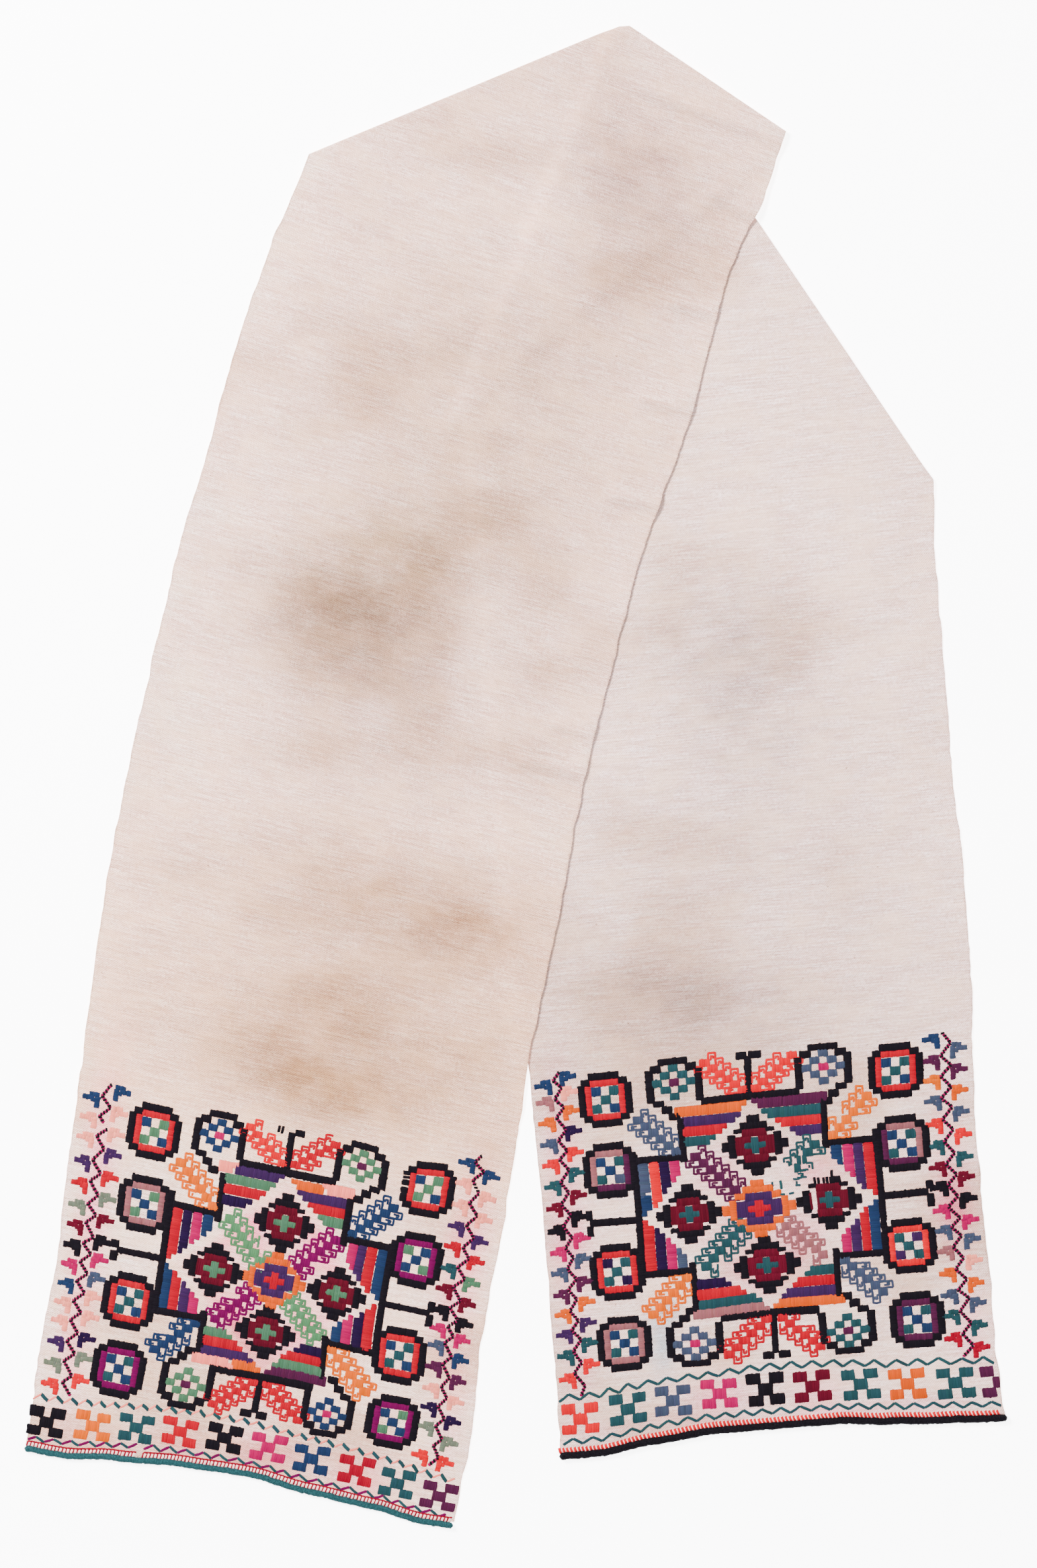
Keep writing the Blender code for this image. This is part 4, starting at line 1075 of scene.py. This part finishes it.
def embroider(end):
    s = Stitches(end)
    front = end == "front"
    table = (
        (FRONT_ROUNDELS, FRONT_FLOWERS, FRONT_LOZENGES, FRONT_BARS, FRONT_BANDS, FRONT_LEAVES, FRONT_CROSSES)
        if front else
        (BACK_ROUNDELS, BACK_FLOWERS, BACK_LOZENGES, BACK_BARS, BACK_BANDS, BACK_LEAVES, BACK_CROSSES)
    )
    roundels, flowers, lozenges, bars, bands, leaves, crosses = table
    mid = FRONT_MIDDLE if front else BACK_MIDDLE
    for f in leaves:
        leaf(s, f)
    for b in bands:
        band(s, b, mid[0], mid[1])
    for b in bars:
        bar(s, b.w0, b.w1, b.d0, b.d1, "black")
    for r in roundels:
        roundel(s, r)
    for f in flowers:
        hook_flower(s, f)
    for z in lozenges:
        lozenge(s, z)
    middle(s, *mid)
    for x in crosses:
        cross_motif(s, x, 53 if front else 55, 43 if front else 46)
    pairs = (
        ((FRONT_LEFT_VINE, FRONT_LEFT_SPRIGS, 36, 54), (FRONT_RIGHT_VINE, FRONT_RIGHT_SPRIGS, 620, 633)) if front else
        ((BACK_LEFT_VINE, BACK_LEFT_SPRIGS, 32, 43), (BACK_RIGHT_VINE, BACK_RIGHT_SPRIGS, 626, 641))
    )
    for turns, sprigs, left, right in pairs:
        vine(s, turns)
        for row in sprigs:
            sprig(s, left, row.left, -1, row.left_yarn)
            sprig(s, right, row.right, 1, row.right_yarn)
    if front:
        zigzag(s, FRONT_LOW_LINE, 26, 7.5, 2, 668, "teal", "magenta", 4.4, 4.2, gap=(160, 176))
        zigzag(s, FRONT_HIGH_LINE, 22.3, 8.5, 1, 676, "teal", "peach", 5.8, 3.0)
    else:
        zigzag(s, BACK_LOW_LINE, 29, 9.0, 5, 674, "teal", "teal", 4.8, 4.4)
        zigzag(s, BACK_HIGH_LINE, 32, 10.5, 2, 676, "teal", "teal", 5.0, 4.5)
    wear(s, FRONT_WORN if front else BACK_WORN)
    whip(s, end)
    return stitch_mesh("embroidery_" + end, s)


# ---------------------------------------------------------------- edging cords
def fuzzy_cord(name, end, radius, hairs):
    """The yarn cord laid along a hem, lumpy and a little hairy."""
    w = np.arange(-1.5, WIDE + 1.6, 1.6)
    d = hem_d(end, np.clip(w, 0, WIDE)) - (radius * 1.55 + 0.4) + 0.9 * (noise(w, 0 * w, 6, 1, 5) - 0.5)
    x, y = chart_point(end, w, d)
    z = radius + 0.15 + 0.3 * noise(w, 0 * w, 12, 1, 6)
    line = np.stack([x, y, z], 1)
    ahead = np.gradient(line, axis=0)
    ahead /= np.linalg.norm(ahead, axis=1)[:, None]
    side = np.stack([-ahead[:, 1], ahead[:, 0], 0 * z], 1)
    side /= np.linalg.norm(side, axis=1)[:, None]
    up = np.cross(ahead, side)
    around = 12
    a = np.arange(around) * 2 * np.pi / around
    lump = radius * (0.86 + 0.3 * noise(np.arange(len(w))[:, None] * 1.0, a[None] * 3.0, 2.2, 1.4, 8))
    taper = np.minimum(1.0, np.minimum(np.arange(len(w)), np.arange(len(w))[::-1]) / 2.5 + 0.25)
    lump = lump * taper[:, None]
    ring = line[:, None] + lump[..., None] * (np.cos(a)[None, :, None] * side[:, None] + np.sin(a)[None, :, None] * up[:, None])
    ring[..., 2] = np.maximum(ring[..., 2], 0.05)
    points = ring.reshape(-1, 3)
    i, j = np.meshgrid(np.arange(len(w) - 1), np.arange(around), indexing="ij")
    quads = np.stack([i * around + j, i * around + (j + 1) % around, (i + 1) * around + (j + 1) % around, (i + 1) * around + j], -1).reshape(-1, 4)
    uv = np.stack([np.tile(a, len(w)), np.repeat(w, around) * 0.5], 1)
    # short loose fibres, each a thin bent blade
    at = RNG.integers(2, len(w) - 2, hairs)
    turn = RNG.uniform(-0.35, np.pi + 0.35, hairs)
    out = np.cos(turn)[:, None] * side[at] + np.sin(turn)[:, None] * up[at]
    root = line[at] + out * radius * 0.85 + ahead[at] * RNG.uniform(-0.4, 0.4, hairs)[:, None]
    lean = ahead[at] * RNG.normal(0, 0.7, hairs)[:, None]
    size = RNG.uniform(0.7, 1.9, hairs)[:, None]
    half = np.cross(out, ahead[at])
    half = ahead[at] * 0.07 + half * 0.03
    mid = root + (out * 0.5 + lean * 0.35) * size
    tip = root + (out * 0.72 + lean * 1.0) * size
    tip[:, 2] = np.maximum(tip[:, 2], 0.1)
    blades = np.stack([root - half, root + half, mid + half, mid - half, tip], 1).reshape(-1, 3)
    start = len(points) + np.arange(hairs) * 5
    quad = np.stack([start, start + 1, start + 2, start + 3], 1)
    top = np.stack([start + 3, start + 2, start + 4, start + 4], 1)
    every = np.concatenate([points, blades])
    mesh = bpy.data.meshes.new(name)
    faces = [tuple(map(int, q)) for q in np.concatenate([quads, quad])] + [tuple(map(int, q[:3])) for q in top]
    mesh.from_pydata([tuple(p) for p in placed(every)], [], faces)
    mesh.validate()
    mesh.shade_smooth()
    obj = bpy.data.objects.new(name, mesh)
    bpy.context.scene.collection.objects.link(obj)
    add_uv(obj, "lay", np.concatenate([uv, np.repeat(np.stack([turn, w[at] * 0.5], 1), 5, axis=0)]))
    return obj


# ---------------------------------------------------------------- stains, dye bleed, and painted shade on the ridges
# In the plane, mm: middle, half lengths, turn in degrees, how strong, and the colour the linen is multiplied by.
Stain = namedtuple("Stain", "x y a b turn strength r g b_")
STAINS = (
    Stain(89, 458, 52, 36, -60, 0.85, 0.60, 0.54, 0.50), Stain(60, 372, 44, 40, 40, 0.4, 0.70, 0.64, 0.56),
    Stain(-31, 338, 84, 44, -18, 0.5, 0.66, 0.60, 0.50), Stain(-20, 258, 90, 60, -10, 0.5, 0.72, 0.66, 0.52),
    Stain(-132, 116, 44, 34, 20, 0.85, 0.58, 0.54, 0.46), Stain(-88, 72, 60, 40, 70, 0.5, 0.64, 0.60, 0.55),
    Stain(-92, 168, 72, 38, 10, 0.75, 0.60, 0.55, 0.42), Stain(-105, -88, 80, 34, -12, 0.62, 0.66, 0.57, 0.44),
    Stain(-35, -118, 50, 26, -8, 0.7, 0.62, 0.53, 0.42), Stain(-172, -190, 60, 30, -10, 0.6, 0.66, 0.56, 0.42),
    Stain(-140, -236, 70, 26, -12, 0.85, 0.56, 0.47, 0.34), Stain(-40, -215, 60, 30, -20, 0.4, 0.70, 0.61, 0.48),
    Stain(-95, -150, 150, 60, -8, 0.4, 0.74, 0.66, 0.52), Stain(161, 92, 46, 52, 10, 0.75, 0.60, 0.58, 0.55),
    Stain(182, 22, 50, 44, 0, 0.45, 0.70, 0.69, 0.67), Stain(118, -170, 50, 26, -10, 0.75, 0.60, 0.56, 0.52),
    Stain(190, -176, 44, 30, 0, 0.5, 0.66, 0.61, 0.55), Stain(150, -60, 70, 60, 0, 0.3, 0.78, 0.77, 0.76),
    Stain(252, -150, 40, 70, 0, 0.3, 0.80, 0.76, 0.70), Stain(10, 60, 36, 90, -16, 0.3, 0.80, 0.74, 0.66),
    Stain(140, 470, 40, 20, -30, 0.35, 0.78, 0.72, 0.66), Stain(-228, 330, 60, 22, 78, 0.2, 0.82, 0.80, 0.78),
    Stain(120, -228, 90, 22, -2, 0.35, 0.72, 0.66, 0.58), Stain(-110, 420, 60, 30, 10, 0.3, 0.80, 0.75, 0.70),
)
Bleed = namedtuple("Bleed", "end w d reach_w reach_d strength r g b_")
PINK = (1.0, 0.42, 0.66)
BLEEDS = (
    Bleed("front", 46, 420, 26, 150, 0.75, *PINK), Bleed("front", 46, 190, 24, 120, 0.55, *PINK),
    Bleed("front", 626, 400, 30, 130, 0.75, *PINK), Bleed("front", 640, 180, 26, 110, 0.35, *PINK),
    Bleed("front", 300, 372, 34, 44, 0.85, *PINK), Bleed("front", 395, 368, 34, 46, 0.85, *PINK),
    Bleed("front", 300, 262, 36, 40, 0.75, *PINK), Bleed("front", 392, 262, 34, 40, 0.75, *PINK),
    Bleed("front", 372, 50, 60, 34, 0.75, *PINK), Bleed("front", 520, 45, 50, 36, 0.65, *PINK),
    Bleed("front", 235, 48, 46, 30, 0.45, *PINK), Bleed("front", 340, 130, 70, 20, 0.3, *PINK),
    Bleed("front", 90, 35, 70, 24, 0.25, *PINK), Bleed("back", 38, 460, 24, 110, 0.6, *PINK),
    Bleed("back", 36, 320, 28, 60, 0.8, *PINK), Bleed("back", 36, 160, 22, 90, 0.4, *PINK),
    Bleed("back", 632, 330, 30, 60, 0.85, *PINK), Bleed("back", 640, 140, 26, 60, 0.45, *PINK),
    Bleed("back", 632, 440, 22, 80, 0.35, *PINK), Bleed("back", 430, 400, 40, 30, 0.75, 0.97, 0.55, 0.68),
    Bleed("back", 300, 315, 30, 32, 0.7, *PINK), Bleed("back", 290, 400, 34, 36, 0.4, *PINK),
    Bleed("back", 380, 300, 36, 40, 0.6, *PINK), Bleed("back", 248, 72, 44, 30, 0.65, *PINK),
    Bleed("back", 395, 60, 40, 34, 0.5, *PINK), Bleed("back", 165, 160, 22, 42, 0.85, 0.42, 0.74, 1.0),
    Bleed("back", 185, 205, 18, 18, 0.4, 0.50, 0.78, 1.0), Bleed("back", 330, 250, 90, 34, 0.25, *PINK),
    Bleed("back", 150, 35, 150, 14, 0.3, *PINK), Bleed("back", 500, 32, 150, 14, 0.35, *PINK),
)


def linen_tint(xy, layers, p):
    """How stains, bled dye and broad changes of tone colour the linen at each point of the sheet, with painted shade
    and painted highlights along the ridges.
    """
    x, y = p[:, 0], p[:, 1]
    tint = np.ones((len(p), 3))
    fray = noise(x, y, 16, 12, 21) * 0.6 + noise(x, y, 5, 4, 22) * 0.4
    cloud = noise(x, y, 120, 90, 23) * 0.6 + noise(x, y, 45, 30, 24) * 0.4
    for st in STAINS:
        c = unit(st.turn)
        u = ((x - st.x) * c[0] + (y - st.y) * c[1]) / st.a
        v = (-(x - st.x) * c[1] + (y - st.y) * c[0]) / st.b
        near = np.exp(-(u * u + v * v) * 0.6) * (0.62 + 0.76 * fray)
        k = np.clip(st.strength * 1.15 * near, 0, 1)[:, None]
        tint = tint * (1 - k + k * np.array([st.r * 0.94, st.g * 0.98, st.b_ * 1.05]))
    station, across = strip_of(xy[:, 0], xy[:, 1])
    for end, layer in (("front", 1), ("back", 3)):
        m = layers == layer
        if end == "front":
            w, d = (across[m] + STRIP_LEFT) / 338.5 * WIDE, (station[m] - FRONT_ZERO) * 2
        else:
            w, d = (STRIP_RIGHT - across[m]) / 338.5 * WIDE, (BACK_ZERO - station[m]) * 2
        local = tint[m]
        for bl in BLEEDS:
            if bl.end != end:
                continue
            near = np.exp(-(((w - bl.w) / bl.reach_w) ** 2) - ((d - bl.d) / bl.reach_d) ** 2)
            near = near * (0.65 + 0.8 * fray[m])
            k = np.clip(bl.strength * near, 0, 1)[:, None]
            local = local * (1 - k + k * np.array([bl.r, bl.g, bl.b_]))
        # dye has run into the diamond frame round the middle figure
        mid = FRONT_MIDDLE if end == "front" else BACK_MIDDLE
        ring = np.exp(-(((np.abs(w - mid[0]) + np.abs(d - mid[1]) - 128) / 20) ** 2)) * (0.4 + 1.0 * fray[m])
        k = np.clip(ring * (0.75 if end == "front" else 0.3), 0, 1)[:, None]
        tint[m] = local * (1 - k + k * np.array(PINK))
    # the left arm is a little darker and yellower than the right; towards the bottom the left arm turns yellower and
    # the right arm darker
    right = (layers >= 3)[:, None]
    low = smooth((120 - y) / 420)[:, None]
    left_arm = np.array([0.94, 0.89, 0.83]) * (1 - low) + np.array([0.93, 0.83, 0.68]) * low
    tint *= np.where(right, np.array([1.0, 1.0, 1.0]) * (1 - 0.14 * low), left_arm)
    # the front arm is paler and cooler near its hem end
    paler_near_hem = (layers == 1) * smooth((560 - (station - FRONT_ZERO) * 2) / 150)
    tint *= 1 + paler_near_hem[:, None] * np.array([0.05, 0.13, 0.26])
    # painted shade along the lower side of each ridge, and a painted highlight line along its crest
    for r in RIDGES:
        ax, ay = r.x1 - r.x0, r.y1 - r.y0
        size = np.hypot(ax, ay)
        t = ((x - r.x0) * ax + (y - r.y0) * ay) / size**2
        off = ((x - r.x0) * -ay + (y - r.y0) * ax) / size * np.sign(ax)
        taper = np.exp(-np.maximum(0, np.abs(t - 0.5) - 0.35) ** 2 / 0.03) * (layers == 1)
        shade = 0.20 * np.exp(-(((off + 5) / 4.5) ** 2)) - 0.07 * np.exp(-(((off - 2) / 4) ** 2))
        tint *= 1 - (taper * shade)[:, None]
    # the left arm is paler near its selvedges
    edge = np.minimum(across + STRIP_LEFT, STRIP_RIGHT - across)[:, None]
    tint *= 1 + 0.12 * np.exp(-edge / 22.0) * ~right
    tint *= (1 - np.where(layers >= 3, 0.22, 0.36) * (cloud - 0.5))[:, None]
    tint *= 1 - 0.22 * smooth((cloud - 0.52) * 4)[:, None] * np.array([0.7, 0.9, 1.2])
    return np.clip(tint, 0.12, 1.0)


# ---------------------------------------------------------------- materials
class Nodes:
    """A short way to make a material's nodes."""

    def __init__(self, name):
        self.mat = bpy.data.materials.new(name)
        self.mat.use_nodes = True
        self.tree = self.mat.node_tree
        self.shader = self.tree.nodes["Principled BSDF"]

    def add(self, kind, **values):
        node = self.tree.nodes.new(kind)
        for key, value in values.items():
            if hasattr(node, key):
                setattr(node, key, value)
        return node

    def link(self, a, b):
        self.tree.links.new(a, b)

    def feed(self, value, socket):
        if isinstance(value, (int, float)):
            socket.default_value = value
        elif isinstance(value, tuple):
            socket.default_value = value
        else:
            self.link(value, socket)

    def noise(self, vector, scale, size=5.0, detail=2.0, rough=0.5):
        stretch = self.add("ShaderNodeMapping")
        self.link(vector, stretch.inputs["Vector"])
        stretch.inputs["Scale"].default_value = scale
        node = self.add("ShaderNodeTexNoise")
        self.link(stretch.outputs[0], node.inputs["Vector"])
        node.inputs["Scale"].default_value = size
        node.inputs["Detail"].default_value = detail
        node.inputs["Roughness"].default_value = rough
        return node.outputs["Fac"]

    def ramp(self, value, low, high, out_low, out_high):
        node = self.add("ShaderNodeMapRange")
        self.link(value, node.inputs["Value"])
        for name, v in (("From Min", low), ("From Max", high), ("To Min", out_low), ("To Max", out_high)):
            node.inputs[name].default_value = v
        return node.outputs["Result"]

    def math(self, operation, a, b):
        node = self.add("ShaderNodeMath", operation=operation)
        self.feed(a, node.inputs[0])
        self.feed(b, node.inputs[1])
        return node.outputs[0]

    def mix(self, share, a, b, blend="MIX"):
        node = self.add("ShaderNodeMix", data_type="RGBA", blend_type=blend)
        self.feed(share, node.inputs[0])
        self.feed(a, node.inputs[6])
        self.feed(b, node.inputs[7])
        return node.outputs[2]

    def bump(self, value, strength, distance, before=None):
        node = self.add("ShaderNodeBump")
        node.inputs["Strength"].default_value = strength
        node.inputs["Distance"].default_value = distance
        self.link(value, node.inputs["Height"])
        if before is not None:
            self.link(before, node.inputs["Normal"])
        return node.outputs["Normal"]


def linen_material():
    n = Nodes("linen_homespun")
    uv = n.add("ShaderNodeUVMap", uv_map="weave").outputs[0]
    tint = n.add("ShaderNodeAttribute", attribute_name="tint").outputs["Color"]
    weft = n.noise(uv, (40.0, 900.0, 1.0), 1.0, 3.0, 0.6)
    slub = n.noise(uv, (30.0, 460.0, 1.0), 1.0, 3.0, 0.65)
    thick = n.noise(uv, (11.0, 210.0, 1.0), 1.0, 3.0, 0.6)
    warp = n.noise(uv, (900.0, 50.0, 1.0), 1.0, 2.0, 0.55)
    patch = n.noise(uv, (24.0, 40.0, 1.0), 1.0, 3.0, 0.6)
    mottle = n.noise(uv, (70.0, 130.0, 1.0), 1.0, 4.0, 0.65)
    dash = n.noise(uv, (110.0, 820.0, 1.0), 1.0, 3.0, 0.6)
    place = n.add("ShaderNodeSeparateXYZ")
    n.link(uv, place.inputs[0])
    left_edge = n.ramp(place.outputs[0], 0.0025, 0.0042, 1.0, 0.0)
    right_edge = n.ramp(place.outputs[0], 0.3393, 0.3410, 0.0, 1.0)
    twine = n.noise(uv, (120.0, 210.0, 1.0), 1.0, 2.0, 0.6)
    selvedge = n.math("MULTIPLY", n.math("ADD", left_edge, right_edge), n.ramp(twine, 0.42, 0.6, 0.1, 0.75))
    grain = n.noise(uv, (420.0, 760.0, 1.0), 1.0, 4.0, 0.7)
    fleck = n.noise(uv, (260.0, 420.0, 1.0), 1.0, 1.0, 0.4)
    colour = n.mix(n.ramp(weft, 0.40, 0.60, 0.0, 1.0), (0.70, 0.43, 0.38, 1), (1.0, 0.76, 0.73, 1))
    colour = n.mix(n.ramp(slub, 0.54, 0.64, 0.0, 0.6), colour, (1.0, 0.84, 0.82, 1))
    colour = n.mix(n.ramp(slub, 0.37, 0.46, 0.6, 0.0), colour, (0.52, 0.31, 0.26, 1))
    colour = n.mix(n.ramp(thick, 0.38, 0.60, 0.3, 0.0), colour, (0.66, 0.41, 0.36, 1))
    colour = n.mix(n.ramp(grain, 0.36, 0.52, 0.75, 0.0), colour, (0.50, 0.30, 0.25, 1))
    colour = n.mix(n.ramp(grain, 0.54, 0.66, 0.0, 0.6), colour, (1.0, 0.82, 0.80, 1))
    colour = n.mix(n.ramp(warp, 0.45, 0.7, 0.0, 0.4), colour, (0.76, 0.47, 0.41, 1))
    colour = n.mix(n.ramp(patch, 0.44, 0.62, 0.0, 0.5), colour, (0.88, 0.58, 0.44, 1))
    colour = n.mix(n.ramp(mottle, 0.50, 0.66, 0.0, 0.45), colour, (0.66, 0.41, 0.31, 1))
    colour = n.mix(n.ramp(dash, 0.60, 0.70, 0.0, 0.6), colour, (0.36, 0.21, 0.16, 1))
    # the plain weave: warp and weft at eleven threads to the centimetre, unevenly spun
    wander = n.math("MULTIPLY", n.noise(uv, (160.0, 160.0, 1.0), 1.0, 2.0, 0.5), 14.0)
    over = n.math("SINE", n.math("ADD", n.math("MULTIPLY", place.outputs[0], 3490.0), wander), 0.0)
    under = n.math("SINE", n.math("ADD", n.math("MULTIPLY", place.outputs[1], 3490.0), wander), 0.0)
    weave = n.math("MULTIPLY", over, under)
    # painted shade: the low places of the weave, where the threads pass under, are darkened
    colour = n.mix(n.ramp(weave, -0.7, 0.5, 0.35, 0.0), colour, (0.56, 0.35, 0.29, 1))
    colour = n.mix(selvedge, colour, (0.34, 0.20, 0.15, 1))
    colour = n.mix(n.ramp(fleck, 0.77, 0.83, 0.0, 0.8), colour, (0.26, 0.15, 0.10, 1))
    colour = n.mix(1.0, colour, tint, "MULTIPLY")
    n.link(colour, n.shader.inputs["Base Color"])
    n.link(n.ramp(weft, 0.2, 0.8, 0.95, 0.8), n.shader.inputs["Roughness"])
    n.shader.inputs["Specular IOR Level"].default_value = 0.05
    pucker = n.noise(uv, (20.0, 90.0, 1.0), 1.0, 3.0, 0.55)
    normal = n.bump(pucker, 0.8, 0.0022)
    normal = n.bump(slub, 0.8, 0.0008, normal)
    normal = n.bump(weft, 0.8, 0.0004, normal)
    normal = n.bump(warp, 0.6, 0.00025, normal)
    normal = n.bump(weave, 0.7, 0.00028, normal)
    n.link(normal, n.shader.inputs["Normal"])
    return n.mat


def yarn_material():
    n = Nodes("embroidery_yarns")
    uv = n.add("ShaderNodeUVMap", uv_map="lay").outputs[0]
    colour = n.add("ShaderNodeAttribute", attribute_name="yarn").outputs["Color"]
    fibre = n.noise(uv, (7.0, 0.7, 1.0), 1.0, 3.0, 0.6)
    colour = n.mix(n.ramp(fibre, 0.3, 0.7, 0.35, 0.0), colour, (0.55, 0.52, 0.54, 1), "MULTIPLY")
    colour = n.mix(n.ramp(fibre, 0.55, 0.75, 0.0, 0.5), colour, (1.2, 1.2, 1.2, 1), "MULTIPLY")
    n.link(colour, n.shader.inputs["Base Color"])
    n.link(n.ramp(fibre, 0.2, 0.8, 0.9, 0.6), n.shader.inputs["Roughness"])
    n.shader.inputs["Specular IOR Level"].default_value = 0.03
    n.link(n.bump(fibre, 0.7, 0.00022), n.shader.inputs["Normal"])
    return n.mat


def cord_material(name, dark, light):
    n = Nodes(name)
    uv = n.add("ShaderNodeUVMap", uv_map="lay").outputs[0]
    twist = n.noise(uv, (1.6, 1.1, 1.0), 1.0, 3.0, 0.6)
    fluff = n.noise(uv, (5.0, 4.0, 1.0), 1.0, 3.0, 0.65)
    colour = n.mix(n.ramp(twist, 0.35, 0.65, 0.0, 1.0), dark, light)
    colour = n.mix(n.ramp(fluff, 0.35, 0.65, 0.35, 0.0), colour, dark)
    n.link(colour, n.shader.inputs["Base Color"])
    n.link(n.ramp(fluff, 0.2, 0.8, 0.98, 0.8), n.shader.inputs["Roughness"])
    n.shader.inputs["Specular IOR Level"].default_value = 0.03
    normal = n.bump(twist, 0.7, 0.0007)
    n.link(n.bump(fluff, 0.8, 0.0004, normal), n.shader.inputs["Normal"])
    return n.mat


def floor_material():
    n = Nodes("pale_paper")
    at = n.add("ShaderNodeTexCoord").outputs["Object"]
    grain = n.noise(at, (1.0, 1.0, 1.0), 3.0, 2.0)
    colour = n.mix(n.ramp(grain, 0.3, 0.7, 0.0, 1.0), (0.955, 0.955, 0.965, 1), (0.975, 0.975, 0.98, 1))
    n.link(colour, n.shader.inputs["Base Color"])
    n.link(colour, n.shader.inputs["Emission Color"])
    n.shader.inputs["Emission Strength"].default_value = 6.5
    n.link(n.ramp(grain, 0.3, 0.7, 0.8, 0.9), n.shader.inputs["Roughness"])
    return n.mat


# ---------------------------------------------------------------- putting it together
def make_linen():
    xy, faces = sheet_net()
    p = folded(xy[:, 0], xy[:, 1])
    station, across = strip_of(xy[:, 0], xy[:, 1])
    # the selvedges wander a little in and out
    inwards = np.where(across < (STRIP_RIGHT - STRIP_LEFT) / 2, 1.0, -1.0)
    edge = np.minimum(across + STRIP_LEFT, STRIP_RIGHT - across)
    inside = folded(*flat_of(station, across + inwards * 0.5))
    wave = 1.5 * (noise(station, inwards * 40, 17, 1, 31) - 0.45) + 0.9 * (noise(station, inwards * 40, 6.5, 1, 32) - 0.5)
    near = np.where(edge < 12, (1 - np.clip(edge / 12, 0, 1)) ** 2, 0.0)
    out = (p - inside)[:, :2] / 0.5
    out /= np.maximum(1.0, np.linalg.norm(out, axis=1))[:, None]
    p[:, :2] += out * (wave * near)[:, None]
    obj = mesh_of("linen_strip", placed(p), faces)
    add_uv(obj, "weave", np.stack([(across + 200) * MM, (station + 1200) * MM], 1))
    add_colour(obj, "tint", linen_tint(xy, sector_of(xy[:, 0], xy[:, 1]), p))
    obj.data.materials.append(linen_material())
    return obj


def area_light(name, at, aim, size, power, colour):
    light = bpy.data.lights.new(name, "AREA")
    light.shape = "DISK"
    light.size = size
    light.energy = power
    light.color = colour
    obj = bpy.data.objects.new(name, light)
    obj.location = at
    obj.rotation_euler = (Vector(aim) - Vector(at)).to_track_quat("-Z", "Y").to_euler()
    bpy.context.scene.collection.objects.link(obj)


def studio():
    mesh = bpy.data.meshes.new("floor")
    half = 3.0
    mesh.from_pydata([(-half, -half, 0), (half, -half, 0), (half, half, 0), (-half, half, 0)], [], [(0, 1, 2, 3)])
    floor = bpy.data.objects.new("floor", mesh)
    bpy.context.scene.collection.objects.link(floor)
    mesh.materials.append(floor_material())
    area_light("key", (-2.1, 1.5, 2.5), (0.0, 0.0, 0.0), 1.1, 600, (1.0, 0.99, 0.98))
    area_light("fill", (1.6, -1.4, 2.8), (0.0, -0.1, 0.0), 1.6, 77, (0.97, 0.98, 1.0))
    world = bpy.data.worlds.new("studio")
    world.use_nodes = True
    sky = world.node_tree.nodes["Background"]
    sky.inputs["Color"].default_value = (0.97, 0.98, 1.0, 1.0)
    sky.inputs["Strength"].default_value = 1.3
    bpy.context.scene.world = world
    lens = bpy.data.cameras.new("camera")
    lens.lens = 85.0
    lens.sensor_width = 36.0
    camera = bpy.data.objects.new("camera", lens)
    camera.location = (0.00224, -0.00585, 2.80)
    bpy.context.scene.collection.objects.link(camera)
    bpy.context.scene.camera = camera


def main():
    linen = make_linen()
    ends = [embroider("front"), embroider("back")]
    yarns = yarn_material()
    for obj in ends:
        obj.data.materials.append(yarns)
    teal = fuzzy_cord("cord_teal", "front", 2.3, 2600)
    teal.data.materials.append(cord_material("teal_cord", (0.006, 0.024, 0.028, 1), (0.018, 0.066, 0.072, 1)))
    black = fuzzy_cord("cord_black", "back", 2.7, 2600)
    black.data.materials.append(cord_material("black_cord", (0.002, 0.0017, 0.0026, 1), (0.007, 0.0055, 0.008, 1)))
    for obj in [linen, *ends]:
        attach(obj, "root")
        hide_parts("cloth")
    for obj, node in ((teal, "edging_teal"), (black, "edging_black")):
        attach(obj, "root")
        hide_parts(node)
    for obj in [linen, *ends, teal, black]:
        print(obj.name, "triangles", sum(len(p.vertices) - 2 for p in obj.data.polygons))
    studio()


main()
